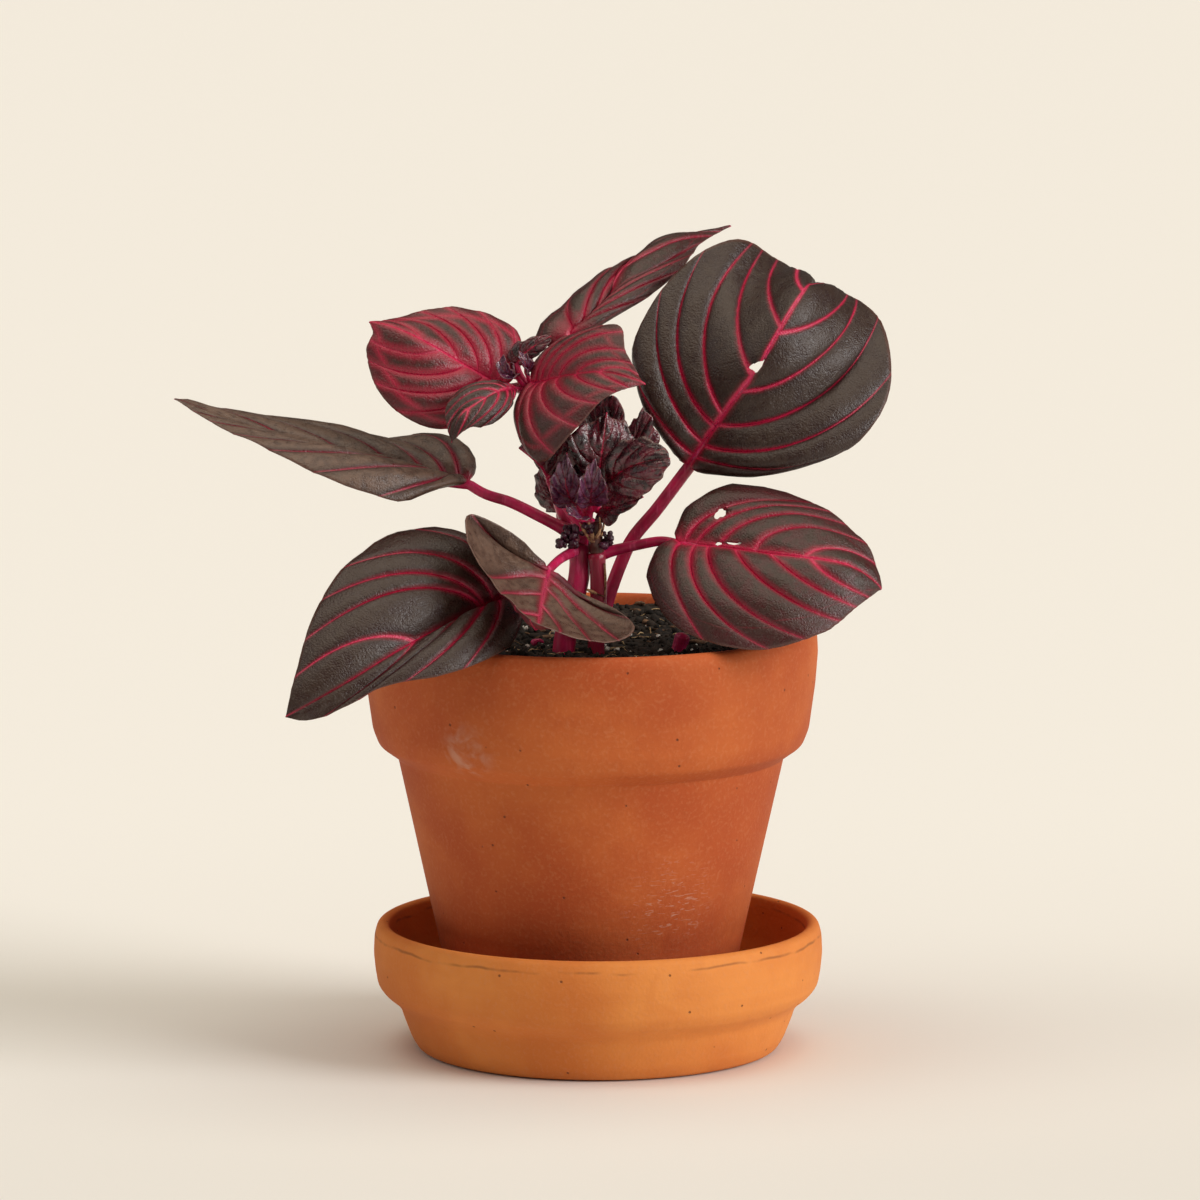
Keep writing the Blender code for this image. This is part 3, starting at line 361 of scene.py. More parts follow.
# Side veins of the leaves whose veins the photo shows, from the base to the tip. Each is three
# shares along the edge: where the vein leaves the midrib, where it is halfway, and where it ends.
VEINS = {
    "leaf_upper_right": dict(
        left=[(0.30, 0.31, 0.28), (0.46, 0.46, 0.48), (0.57, 0.57, 0.63), (0.62, 0.69, 0.77),
            (0.74, 0.78, 0.81), (0.83, 0.86, 0.86), (0.89, 0.91, 0.92)],
        right=[(0.30, 0.33, 0.38), (0.45, 0.51, 0.62), (0.58, 0.67, 0.79), (0.70, 0.79, 0.87),
            (0.82, 0.86, 0.90), (0.91, 0.93, 0.95)]),
    "leaf_lower_right": dict(
        left=[(0.30, 0.46, 0.60), (0.47, 0.56, 0.66), (0.63, 0.66, 0.73), (0.76, 0.76, 0.83),
            (0.87, 0.88, 0.91)],
        right=[(0.21, 0.34, 0.42), (0.48, 0.48, 0.60), (0.58, 0.60, 0.70), (0.70, 0.74, 0.82),
            (0.80, 0.84, 0.88), (0.88, 0.90, 0.94)]),
    "leaf_lower_left": dict(
        left=[(0.30, 0.36, 0.44), (0.48, 0.54, 0.62), (0.64, 0.70, 0.77), (0.80, 0.83, 0.88)],
        right=[(0.20, 0.26, 0.34), (0.38, 0.45, 0.57), (0.49, 0.58, 0.68), (0.52, 0.67, 0.80),
            (0.80, 0.84, 0.90)]),
    "leaf_front": dict(
        left=[(0.30, 0.34, 0.38), (0.48, 0.52, 0.58), (0.64, 0.67, 0.73), (0.80, 0.83, 0.87)],
        right=[(0.30, 0.34, 0.38), (0.50, 0.66, 0.74), (0.72, 0.78, 0.84), (0.86, 0.89, 0.92)]),
    "leaf_upper_left": dict(
        left=[(0.25, 0.30, 0.34), (0.42, 0.48, 0.56), (0.56, 0.62, 0.72), (0.70, 0.75, 0.82),
            (0.82, 0.86, 0.91)],
        right=[(0.25, 0.28, 0.32), (0.38, 0.42, 0.48), (0.50, 0.55, 0.63), (0.62, 0.67, 0.75),
            (0.75, 0.80, 0.87), (0.88, 0.91, 0.94)]),
}
EVEN_VEINS = [(0.26, 0.29, 0.33), (0.42, 0.46, 0.52), (0.55, 0.59, 0.66), (0.67, 0.71, 0.78),
    (0.78, 0.82, 0.87), (0.88, 0.90, 0.93)]
FEW_VEINS = [(0.28, 0.32, 0.36), (0.50, 0.55, 0.62), (0.68, 0.72, 0.78), (0.84, 0.87, 0.90)]

# How red each leaf is, from 0, dark brown, to 1, crimson; how wide its veins' red seams are; and
# how strong its veins still are at the edge
REDNESS = {
    "leaf_upper_right": (0.08, 0.80, 0.3), "leaf_lower_right": (0.50, 1.2, 0.5),
    "leaf_far_left": (0.05, 0.75, 0.3), "leaf_upper_left": (0.90, 2.2, 0.7),
    "leaf_small_dark": (0.15, 1.0, 0.4), "leaf_young_right": (0.60, 1.8, 0.5),
    "leaf_top": (0.50, 1.5, 0.5), "leaf_lower_left": (0.10, 1.2, 0.4),
    "leaf_front": (0.05, 1.1, 0.3),
}
YOUNG_REDNESS = (0.30, 1.0, 0.3)


class Look:
    """One material, with short calls for its nodes."""

    def __init__(self, name):
        self.material = bpy.data.materials.new(name)
        self.material.use_nodes = True
        self.tree = self.material.node_tree
        self.shader = self.tree.nodes["Principled BSDF"]
        self.place = self.tree.nodes.new("ShaderNodeTexCoord").outputs["Object"]

    def feed(self, socket, value):
        """Link a socket to another one, or set its number or colour."""
        if isinstance(value, bpy.types.NodeSocket):
            self.tree.links.new(value, socket)
        elif socket.type == "RGBA":
            socket.default_value = (*value, 1.0)
        else:
            socket.default_value = value

    def math(self, operation, first, second=0.0):
        node = self.tree.nodes.new("ShaderNodeMath")
        node.operation = operation
        self.feed(node.inputs[0], first)
        self.feed(node.inputs[1], second)
        return node.outputs[0]

    def steps(self, value, start, end, low=0.0, high=1.0):
        """A value that goes smoothly from low to high between start and end."""
        node = self.tree.nodes.new("ShaderNodeMapRange")
        node.interpolation_type = "SMOOTHSTEP"
        for socket, number in zip(node.inputs, (value, start, end, low, high)):
            self.feed(socket, number)
        return node.outputs[0]

    def mix(self, share, first, second, blend="MIX"):
        """Two colours mixed by a share of the second."""
        node = self.tree.nodes.new("ShaderNodeMix")
        node.data_type = "RGBA"
        node.blend_type = blend
        self.feed(node.inputs[0], share)
        self.feed(node.inputs[6], first)
        self.feed(node.inputs[7], second)
        return node.outputs[2]

    def noise(self, size, detail=3.0, place=None, warp=0.0):
        """Cloudy noise around one half, whose clouds are about this size in millimetres."""
        node = self.tree.nodes.new("ShaderNodeTexNoise")
        self.feed(node.inputs["Vector"], place or self.place)
        node.inputs["Scale"].default_value = 1 / (size * MM)
        node.inputs["Detail"].default_value = detail
        node.inputs["Distortion"].default_value = warp
        return node.outputs["Fac"]

    def cells(self, size, feature="F1", place=None):
        """Distance to the nearest cell middle or border, as a share of the cell size."""
        node = self.tree.nodes.new("ShaderNodeTexVoronoi")
        node.feature = feature
        self.feed(node.inputs["Vector"], place or self.place)
        node.inputs["Scale"].default_value = 1 / (size * MM)
        return node.outputs["Distance"]

    def moved(self, offset=(0, 0, 0), stretch=(1, 1, 1)):
        """The place in space, moved by millimetres and stretched."""
        node = self.tree.nodes.new("ShaderNodeMapping")
        self.feed(node.inputs["Vector"], self.place)
        node.inputs["Location"].default_value = [value * MM for value in offset]
        node.inputs["Scale"].default_value = stretch
        return node.outputs["Vector"]

    def spot(self, centre, radius, stretch=(1, 1, 1)):
        """One at a place in millimetres, falling to zero at this distance."""
        offset = [-value * scale for value, scale in zip(centre, stretch)]
        node = self.tree.nodes.new("ShaderNodeVectorMath")
        node.operation = "LENGTH"
        self.feed(node.inputs[0], self.moved(offset, stretch))
        return self.steps(node.outputs["Value"], 0.0, radius * MM, 1.0, 0.0)

    def attribute(self, name):
        """The three values of a mesh attribute."""
        node = self.tree.nodes.new("ShaderNodeAttribute")
        node.attribute_name = name
        split = self.tree.nodes.new("ShaderNodeSeparateXYZ")
        self.tree.links.new(node.outputs["Vector"], split.inputs[0])
        return split.outputs[0], split.outputs[1], split.outputs[2]

    def axis(self, index):
        """The place along x, y or z, in metres."""
        split = self.tree.nodes.new("ShaderNodeSeparateXYZ")
        self.tree.links.new(self.place, split.inputs[0])
        return split.outputs[index]

    def bump(self, value, depth, below=None):
        """Relief of this depth in millimetres, on top of another relief."""
        node = self.tree.nodes.new("ShaderNodeBump")
        node.inputs["Distance"].default_value = depth * MM
        self.feed(node.inputs["Height"], value)
        if below:
            self.tree.links.new(below, node.inputs["Normal"])
        self.tree.links.new(node.outputs["Normal"], self.shader.inputs["Normal"])
        return node.outputs["Normal"]

    def finish(self, colour, roughness, specular=0.5):
        self.feed(self.shader.inputs["Base Color"], colour)
        self.feed(self.shader.inputs["Roughness"], roughness)
        self.shader.inputs["Specular IOR Level"].default_value = specular
        return self.material


def clay_look(name, light, dark):
    """Unglazed terracotta: cloudy colour, grog specks, pits and a faint turning grain."""
    look = Look(name)
    clouds = look.noise(38, 4)
    blotches = look.noise(9, 5, warp=0.6)
    grain = look.noise(0.9, 4)
    rings = look.noise(3.2, 3, look.moved(stretch=(0.06, 0.06, 1)))
    colour = look.mix(look.steps(clouds, 0.35, 0.68), dark, light)
    colour = look.mix(look.math("MULTIPLY", look.steps(blotches, 0.5, 0.75), 0.35), colour, dark)
    colour = look.mix(look.math("MULTIPLY", look.steps(grain, 0.45, 0.8), 0.22), colour, CLAY_PALE)
    colour = look.mix(look.math("MULTIPLY", look.steps(rings, 0.5, 0.7), 0.12), colour, dark)
    pits = look.steps(look.cells(5.5, place=look.moved((3, 7, 1))), 0.035, 0.07, 1.0, 0.0)
    colour = look.mix(look.math("MULTIPLY", pits, 0.7), colour, CLAY_PIT)
    return look, colour, (rings, blotches, grain, pits)


def finish_clay(look, colour, relief):
    """Give a clay look its relief and its dry roughness."""
    rings, blotches, grain, pits = relief
    below = look.bump(rings, 0.10)
    below = look.bump(blotches, 0.12, below)
    below = look.bump(grain, 0.10, below)
    look.bump(look.math("MULTIPLY", pits, -1.0), 0.25, below)
    roughness = look.math("ADD", look.math("MULTIPLY", grain, 0.2), 0.68)
    return look.finish(colour, roughness, 0.35)


def pot_clay():
    """The pot's clay: darker low down, partly from damp and partly painted shade from the saucer, with scuffs and
    pale salts.
    """
    look, colour, relief = clay_look("pot_clay", CLAY_LIGHT, CLAY_DARK)
    mottle = look.noise(6, 5, warp=1.0)
    # Darker low down: real damp patches and painted shade where the saucer shades the pot
    damp_and_shade = look.steps(look.axis(2), 0.008, 0.055, 1.0, 0.0)
    damp_and_shade = look.math("MULTIPLY", damp_and_shade, look.steps(mottle, 0.2, 0.6, 0.35, 0.75))
    colour = look.mix(damp_and_shade, colour, CLAY_DAMP_AND_SHADE)
    for centre, radius, stretch in SALT_SPOTS:
        salt = look.math("MULTIPLY", look.spot(centre, radius, stretch), look.steps(mottle, 0.42, 0.66))
        colour = look.mix(look.math("MULTIPLY", salt, 0.6), colour, CLAY_SALT)
    scratches = look.noise(2.2, 2, look.moved(stretch=(0.5, 0.5, 2.5)), warp=2.0)
    scuff = look.math("MULTIPLY", look.spot(*SCUFF_SPOT), look.steps(scratches, 0.60, 0.66))
    colour = look.mix(look.math("MULTIPLY", scuff, 0.45), colour, CLAY_SALT)
    return finish_clay(look, colour, relief)


def saucer_clay():
    """The saucer's clay: lighter and yellower, with a dark line of dirt under its lip."""
    look, colour, relief = clay_look("saucer_clay", SAUCER_LIGHT, SAUCER_DARK)
    height = look.axis(2)
    wander = look.math("MULTIPLY", look.noise(18, 3), 0.003)
    line = look.math("ABSOLUTE", look.math("SUBTRACT", look.math("ADD", height, wander), 0.0292))
    groove = look.math("MULTIPLY", look.steps(line, 0.0, 0.0005, 1.0, 0.0), look.steps(look.noise(14), 0.4, 0.6))
    colour = look.mix(look.math("MULTIPLY", groove, 0.55), colour, CLAY_PIT)
    return finish_clay(look, colour, relief)


def leaf_look(name, dark, light, vein_colour):
    """The upper side of a leaf: dark and glossy, with crimson veins that fade into the blade and pink highlights
    painted on their cores.
    """
    look = Look(name)
    vein, midrib, loop = look.attribute("veins")
    red, seam, fading = look.attribute("tint")
    across, place, _ = look.attribute("blade")
    patches = look.noise(7, 4, warp=0.5)
    mottle = look.noise(2.0, 5)
    skin = look.noise(0.45, 3)
    wobble = look.math("MULTIPLY", look.math("SUBTRACT", mottle, 0.5), 1.4)
    off_middle = look.math("ABSOLUTE", look.math("SUBTRACT", place, 0.5))
    patch = look.steps(look.math("ADD", off_middle, look.math("MULTIPLY", wobble, 0.25)), 0.12, 0.42, 1.0, 0.0)
    patch = look.math("MULTIPLY", patch, look.steps(look.math("ADD", patches, wobble), 0.2, 0.7, 0.3, 1.0))
    inner = look.math("SUBTRACT", 1.0, look.math("MULTIPLY", red, look.steps(across, 0.6, 0.95, 0.1, 0.8)))
    blade = look.mix(look.math("MULTIPLY", patch, inner), look.mix(red, dark, LEAF_CRIMSON), light)
    strength = look.steps(across, 0.74, 1.0, 1.0, fading)
    loop = look.math("ADD", look.math("ABSOLUTE", loop), look.steps(red, 0.3, 0.8, 3.5, 0.6))
    side = look.math("MINIMUM", vein, loop)
    near = look.math("MINIMUM", side, midrib)
    halo = look.steps(look.math("DIVIDE", look.math("ADD", near, wobble), seam), 0.3, 3.4, 1.0, 0.0)
    halo = look.math("MULTIPLY", look.math("POWER", halo, 1.3), strength)
    blade = look.mix(halo, blade, look.mix(red, VEIN_SEAM, VEIN_GLOW))
    ragged = look.math("MULTIPLY", wobble, 0.4)
    core = look.steps(look.math("ADD", side, ragged), 0.45, 1.35, 1.0, 0.0)
    core = look.math("MULTIPLY", look.math("MULTIPLY", core, strength), look.steps(red, 0.0, 1.0, 1.0, 0.45))
    core = look.math("MAXIMUM", core, look.steps(look.math("ADD", midrib, ragged), 0.45, 1.35, 1.0, 0.0))
    colour = look.mix(core, blade, vein_colour)
    # Painted highlight: pink glints along the vein cores, where the skin noise is high
    painted_vein_highlight = look.math("MULTIPLY", look.steps(near, 0.0, 0.6, 1.0, 0.0), look.steps(skin, 0.4, 0.6, 0.1, 0.7))
    colour = look.mix(look.math("MULTIPLY", painted_vein_highlight, core), colour, VEIN_HIGHLIGHT_PINK)
    colour = look.mix(look.steps(across, 0.975, 0.998, 0.0, 0.4), colour, LEAF_RIM)
    colour = look.mix(look.math("MULTIPLY", look.steps(skin, 0.58, 0.72), 0.08), colour, LEAF_DUST)
    look.bump(skin, 0.20, look.bump(mottle, 0.18))
    roughness = look.steps(look.math("ADD", mottle, skin), 0.7, 1.3, 0.25, 0.43)
    return look.finish(colour, roughness, 0.45)


def young_look(name, dark, light, vein_colour):
    """A young leaf of the crown: crumpled, glossy and blotched, with faint veins and a pale rim; on the buds the
    light blotches are a painted lilac highlight.
    """
    look = Look(name)
    vein, midrib, _ = look.attribute("veins")
    across = look.attribute("blade")[0]
    blotch = look.noise(3.0, 4, warp=1.0)
    crease = look.noise(1.5, 4, warp=0.8)
    wobble = look.math("MULTIPLY", look.math("SUBTRACT", crease, 0.5), 3.0)
    # Blotches of the light colour; on the buds this is a painted lilac highlight
    blade = look.mix(look.steps(blotch, 0.40, 0.62), dark, light)
    near = look.math("ADD", look.math("MINIMUM", midrib, look.math("MULTIPLY", vein, 1.5)), wobble)
    colour = look.mix(look.steps(near, 0.3, 3.0, 0.7, 0.0), blade, vein_colour)
    rib = look.steps(look.math("ADD", midrib, wobble), 0.2, 1.0, 0.85, 0.0)
    colour = look.mix(rib, colour, VEIN_RED)
    rim = look.math("MULTIPLY", look.steps(across, 0.9, 1.0), look.steps(crease, 0.42, 0.6))
    colour = look.mix(look.math("MULTIPLY", rim, 0.5), colour, LEAF_RIM)
    look.bump(look.noise(0.4, 2), 0.08, look.bump(crease, 0.35))
    return look.finish(colour, look.steps(crease, 0.35, 0.7, 0.16, 0.38), 0.8)


def under_look(name, colour, vein_colour):
    """The underside of a leaf: dull crimson purple, with paler veins."""
    look = Look(name)
    vein, midrib, _ = look.attribute("veins")
    mottle = look.noise(1.8, 5)
    near = look.math("MINIMUM", vein, midrib)
    lines = look.steps(near, 0.5, 1.8, 1.0, 0.0)
    blade = look.mix(look.steps(mottle, 0.3, 0.7), colour, tuple(value * 0.55 for value in colour))
    look.bump(mottle, 0.2)
    return look.finish(look.mix(look.math("MULTIPLY", lines, 0.8), blade, vein_colour), 0.5, 0.4)


def stem_look(name, colour, dark, pale):
    """A juicy stem: translucent looking crimson with long fine streaks."""
    look = Look(name)
    streaks = look.noise(1.1, 4, look.moved(stretch=(1, 1, 0.12)))
    patches = look.noise(6, 3)
    base = look.mix(look.steps(patches, 0.35, 0.7), colour, dark)
    # Pale streaks; on the side buds these are painted lilac glints
    base = look.mix(look.math("MULTIPLY", look.steps(streaks, 0.55, 0.75), 0.5), base, pale)
    below = look.bump(streaks, 0.12)
    look.bump(look.noise(0.4, 2), 0.05, below)
    look.shader.inputs["Subsurface Weight"].default_value = 0.15
    look.shader.inputs["Subsurface Scale"].default_value = 0.8 * MM
    return look.finish(base, look.steps(streaks, 0.3, 0.8, 0.28, 0.45), 0.5)


def crumb_look(name, colour, dark, size, roughness=0.9):
    """Soil, bark, perlite or straw: mottled and dull."""
    look = Look(name)
    mottle = look.noise(size, 5)
    look.bump(mottle, 0.35)
    return look.finish(look.mix(look.steps(mottle, 0.35, 0.65), dark, colour), roughness, 0.3)


def mesh_piece(name, points, faces, looks, slots=None, values=None):
    """Make a smooth piece from points in millimetres, with its looks and its values at the points."""
    mesh = bpy.data.meshes.new(name)
    mesh.from_pydata((np.asarray(points) * MM).tolist(), [], [tuple(face) for face in faces])
    for look in looks:
        mesh.materials.append(look)
    if slots is not None:
        mesh.polygons.foreach_set("material_index", slots)
    for key, numbers in (values or {}).items():
        made = mesh.attributes.new(key, "FLOAT_VECTOR", "POINT")
        made.data.foreach_set("vector", np.asarray(numbers, np.float32).ravel())
    mesh.shade_smooth()
    piece = bpy.data.objects.new(name, mesh)
    bpy.context.scene.collection.objects.link(piece)
    return piece


def keep(piece, slot, *nodes):
    """A piece rides on the part and stands for CAD nodes, which it hides; the slot is not used."""
    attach(piece, "root")
    if nodes:
        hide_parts(*nodes)


def unit(vectors):
    """Scale vectors to length one."""
    lengths = np.linalg.norm(vectors, axis=-1, keepdims=True)
    return vectors / np.maximum(lengths, 1e-9)


def smooth_curve(points, shares):
    """Read a smooth curve through the points at shares of its length; it runs on straight outside 0..1."""
    points = np.asarray(points, float)
    shares = np.atleast_1d(np.asarray(shares, float))
    steps = np.linalg.norm(np.diff(points, axis=0), axis=1)
    knots = np.concatenate([[0.0], np.cumsum(steps)]) / steps.sum()
    slopes = np.empty_like(points)
    first = (points[1] - points[0]) / (knots[1] - knots[0])
    last = (points[-1] - points[-2]) / (knots[-1] - knots[-2])
    if len(points) > 2:
        slopes[1:-1] = (points[2:] - points[:-2]) / (knots[2:] - knots[:-2])[:, None]
        slopes[0] = 1.5 * first - 0.5 * slopes[1]
        slopes[-1] = 1.5 * last - 0.5 * slopes[-2]
    else:
        slopes[0] = first
        slopes[-1] = last
    inside = np.clip(shares, 0.0, 1.0)
    piece = np.clip(np.searchsorted(knots, inside, side="right") - 1, 0, len(knots) - 2)
    span = knots[piece + 1] - knots[piece]
    x = ((inside - knots[piece]) / span)[:, None]
    span = span[:, None]
    result = (2 * x**3 - 3 * x**2 + 1) * points[piece] + (x**3 - 2 * x**2 + x) * span * slopes[piece]
    result += (3 * x**2 - 2 * x**3) * points[piece + 1] + (x**3 - x**2) * span * slopes[piece + 1]
    result += np.minimum(shares, 0.0)[:, None] * slopes[0]
    result += np.maximum(shares - 1.0, 0.0)[:, None] * slopes[-1]
    return result


def direction(points, shares, step=0.02):
    """Direction of the smooth curve at shares of its length."""
    shares = np.atleast_1d(np.asarray(shares, float))
    return unit(smooth_curve(points, shares + step) - smooth_curve(points, shares - step))


def edges_from_width(leaf):
    """Left and right edge points of a bud leaf that is given by its width, face and fold."""
    shares = np.linspace(0.0, 1.0, BUD_EDGE_POINTS)
    middle = smooth_curve(leaf["midrib"], shares)
    ahead = direction(leaf["midrib"], shares)
    face = np.asarray(leaf["face"], float)
    up = unit(face - (ahead @ face)[:, None] * ahead)
    side = np.cross(ahead, up)
    width = (leaf["width"] * np.sin(np.pi * shares**0.75) ** 0.8)[:, None]
    fold = math.radians(leaf["fold"])
    rise = up * math.sin(fold)
    reach = side * math.cos(fold)
    return middle + (rise - reach) * width, middle + (rise + reach) * width


def edge_points(leaf):
    """Both edges of a leaf, from the blade's base to its tip."""
    if "width" in leaf:
        return edges_from_width(leaf)
    ends = leaf["midrib"][:1], leaf["midrib"][-1:]
    return [ends[0] + leaf[side] + ends[1] for side in ("left", "right")]


def half_points(leaf, edge, sign, edge_share, across, lean):
    """Points of one half of a blade, for equal lists of shares along the edge and across the half."""
    starts = edge_share * (lean + (1 - lean) * edge_share**3)
    middle = smooth_curve(leaf["midrib"], starts)
    reach = smooth_curve(edge, edge_share) - middle
    ahead = direction(leaf["midrib"], starts)
    length = np.linalg.norm(reach, axis=1, keepdims=True)
    up = unit(np.cross(reach * sign, ahead))
    arches = leaf["arch"][0 if sign < 0 else 1] if "arch" in leaf else (0.0, 0.0)
    arch = np.interp(edge_share, np.linspace(0.0, 1.0, len(arches)), arches)[:, None]
    lift = up * arch * length - ahead * VEIN_BOW * length * edge_share[:, None]
    across = across[:, None]
    return middle + reach * across + lift * 4 * across * (1 - across)


def vein_rows(veins, rows_between):
    """Three shares along the edge for each row of the blade, and where each vein's row is."""
    posts = np.array([(FIRST_ROW,) * 3, *veins, (LAST_ROW,) * 3])
    rows = []
    for low, high in zip(posts[:-1], posts[1:]):
        rows += [low + (high - low) * share for share in rows_between]
    rows.append(posts[-1])
    marks = [index * len(rows_between) for index in range(1, len(posts) - 1)]
    return np.array(rows), marks


def half_grid(leaf, edge, sign, rows, across, lean):
    """Points of one half of a blade: a row along each side vein and between them."""
    low, middle, high = rows[:, 0:1], rows[:, 1:2], rows[:, 2:3]
    s = across[None, :]
    edge_share = low * (1 - s) * (1 - 2 * s) + middle * 4 * s * (1 - s) + high * s * (2 * s - 1)
    flat = half_points(leaf, edge, sign, edge_share.ravel(), np.tile(across, len(rows)), lean)
    return flat.reshape(len(rows), len(across), 3), edge_share


def grid_normals(grid, sign):
    """Normals of a half blade, towards the leaf's upper face."""
    along = np.gradient(grid, axis=0)
    across = np.gradient(grid, axis=1)
    return unit(np.cross(across, along)) * sign


def spread(grid, marks):
    """Distance of each point of a half blade to the nearest side vein, and to its own row's midrib."""
    nearest = np.full(grid.shape[:2], 99.0)
    for mark in marks:
        nearest = np.minimum(nearest, np.linalg.norm(grid - grid[mark][None], axis=2))
    return nearest, np.linalg.norm(grid - grid[:, :1], axis=2)


def random_waves(count, seed, slowest, fastest):
    """Sine waves that add up to a smooth random line: (cycles, phase, size) each."""
    random = np.random.RandomState(seed)
    cycles = random.uniform(slowest, fastest, count)
    return list(zip(cycles, random.uniform(0, 2 * math.pi, count), random.uniform(0.4, 1.0, count)))


def wave_line(waves, shares):
    """A random line from about -1 to 1."""
    total = sum(size for _, _, size in waves)
    return sum(size * np.sin(2 * math.pi * cycles * shares + phase) for cycles, phase, size in waves) / total


def between_veins(marks, count):
    """For each row of a half blade: the vein rows before and after it, and its place between them."""
    posts = np.array([0, *marks, count - 1])
    row = np.arange(count)
    band = np.clip(np.searchsorted(posts, row, side="right") - 1, 0, len(posts) - 2)
    before, after = posts[band], posts[band + 1]
    return before, after, (row - before) / (after - before)


def lumps(grid, across_mm, puckers, seed):
    """Random small lumps of a blade, in millimetres."""
    steps = np.linalg.norm(np.diff(grid[:, grid.shape[1] // 2], axis=0), axis=1)
    along = np.broadcast_to(np.concatenate([[0.0], np.cumsum(steps)])[:, None], across_mm.shape)
    return sum(height * lattice(along, across_mm, size, seed) for size, height in puckers)


def puffed(grid, normals, marks, across, edge_share, scale, small, seed):
    """Raise the blade between its veins, pucker it, ruffle its margin and nibble its edge."""
    before, after, place = between_veins(marks, len(grid))
    hump = (np.sin(np.pi * place) ** 0.8)[:, None]
    middle = len(across) // 2
    gap = np.linalg.norm(grid[before, middle] - grid[after, middle], axis=1)[:, None]
    profile = np.minimum(1.0, across / 0.18) ** 0.7 * np.minimum(1.0, (1.02 - across) / 0.35) ** 0.8
    near_tip = np.clip((1 - edge_share) / 0.3, 0.1, 1.0)
    lift = PUFF * scale * np.minimum(gap, PUFF_WIDEST) * hump * profile * near_tip
    across_mm = np.linalg.norm(grid - grid[:, :1], axis=2)
    bumpy = lumps(grid, across_mm, YOUNG_PUCKERS if small else PUCKERS, seed)
    lift = lift + bumpy * np.minimum(1.0, across_mm / 2) * (0.3 + 0.7 * hump)
    rim = edge_share[:, -1:]
    lift = lift + RUFFLE * scale * wave_line(random_waves(5, seed + 2, 3, 8), rim) * across**4
    waves = random_waves(4, seed + 3, 2, 7) if small else random_waves(9, seed + 3, 10, 45)
    nibble = (TEETH if small else NIBBLE * scale) * wave_line(waves, rim) * across**6
    return grid + normals * lift[:, :, None] + unit(grid - grid[:, :1]) * nibble[:, :, None]


def half_shell(grid, normals, sign, hidden, thickness):
    """Points, faces and face slots of one half of a blade: upper side, underside and rim."""
    rows, columns = grid.shape[:2]
    count = rows * columns
    top = grid + normals * thickness[None, :, None] / 2
    under = grid - normals * thickness[None, :, None] / 2
    faces = []
    slots = []
    edges = {}
    for row in range(rows - 1):
        for column in range(columns - 1):
            if hidden[row, column]:
                continue
            corner = row * columns + column
            face = (corner, corner + 1, corner + columns + 1, corner + columns)
            face = face if sign > 0 else face[::-1]
            faces += [face, tuple(index + count for index in reversed(face))]
            slots += [0, 1]
            for start, end in zip(face, face[1:] + face[:1]):
                if (end, start) in edges:
                    del edges[end, start]
                else:
                    edges[start, end] = True
    for start, end in edges:
        faces.append((end, start, start + count, end + count))
        slots.append(0)
    return np.concatenate([top.reshape(-1, 3), under.reshape(-1, 3)]), faces, slots


def off_hole(points, hole):
    """How far points are from a hole's middle, where one is on its edge, and the way back to the middle."""
    (x, z), (reach_x, reach_z), slope = hole
    away = points[..., (0, 2)] - (x, z)
    away[..., 1] -= slope * away[..., 0]
    turn = np.arctan2(away[..., 1], away[..., 0])
    ragged = 1 + 0.16 * np.sin(3 * turn + x) + 0.08 * np.sin(5 * turn)
    return np.hypot(away[..., 0] / reach_x, away[..., 1] / reach_z) / ragged


def hole_faces(grid, holes):
    """Say which faces of a half blade fall in a hole, and draw the points round it to its edge."""
    hidden = np.zeros((grid.shape[0] - 1, grid.shape[1] - 1), bool)
    for hole in holes:
        middles = (grid[:-1, :-1] + grid[1:, :-1] + grid[:-1, 1:] + grid[1:, 1:]) / 4
        opened = off_hole(middles, hole) < 1.15
        hidden |= opened
        corners = np.zeros(grid.shape[:2], bool)
        for row in (0, 1):
            for column in (0, 1):
                corners[row:len(grid) - 1 + row, column:grid.shape[1] - 1 + column] |= opened
        (x, z), _, slope = hole
        share = 1 / np.maximum(off_hole(grid, hole), 0.05)[..., None] - 1
        away = grid[..., (0, 2)] - (x, z)
        moved = grid.copy()
        moved[..., (0, 2)] += away * np.clip(share, -0.4, 2.0)
        grid[corners] = moved[corners]
    return hidden


def tube_rings(middle, radii, sides, up=None):
    """Rings round a route; up turns them."""
    ahead = unit(np.gradient(middle, axis=0))
    up = np.tile((0.0, 1.0, 0.0), (len(middle), 1)) if up is None else up
    side = unit(np.cross(ahead, up))
    above = np.cross(side, ahead)
    turn = np.linspace(0.0, 2 * math.pi, sides, endpoint=False)[None, :, None]
    circle = np.cos(turn) * side[:, None] + np.sin(turn) * above[:, None]
    return middle[:, None] + circle * radii[..., None]


def tube_faces(rings, first=0):
    """Faces of a tube with closed ends whose rings' points follow each other."""
    count, sides = rings.shape[:2]
    faces = []
    for ring in range(count - 1):
        for step in range(sides):
            following = (step + 1) % sides
            low = first + ring * sides
            faces.append((low + step, low + following, low + sides + following, low + sides + step))
    last = first + (count - 1) * sides
    return faces + [tuple(range(first + sides - 1, first - 1, -1)), tuple(range(last, last + sides))]


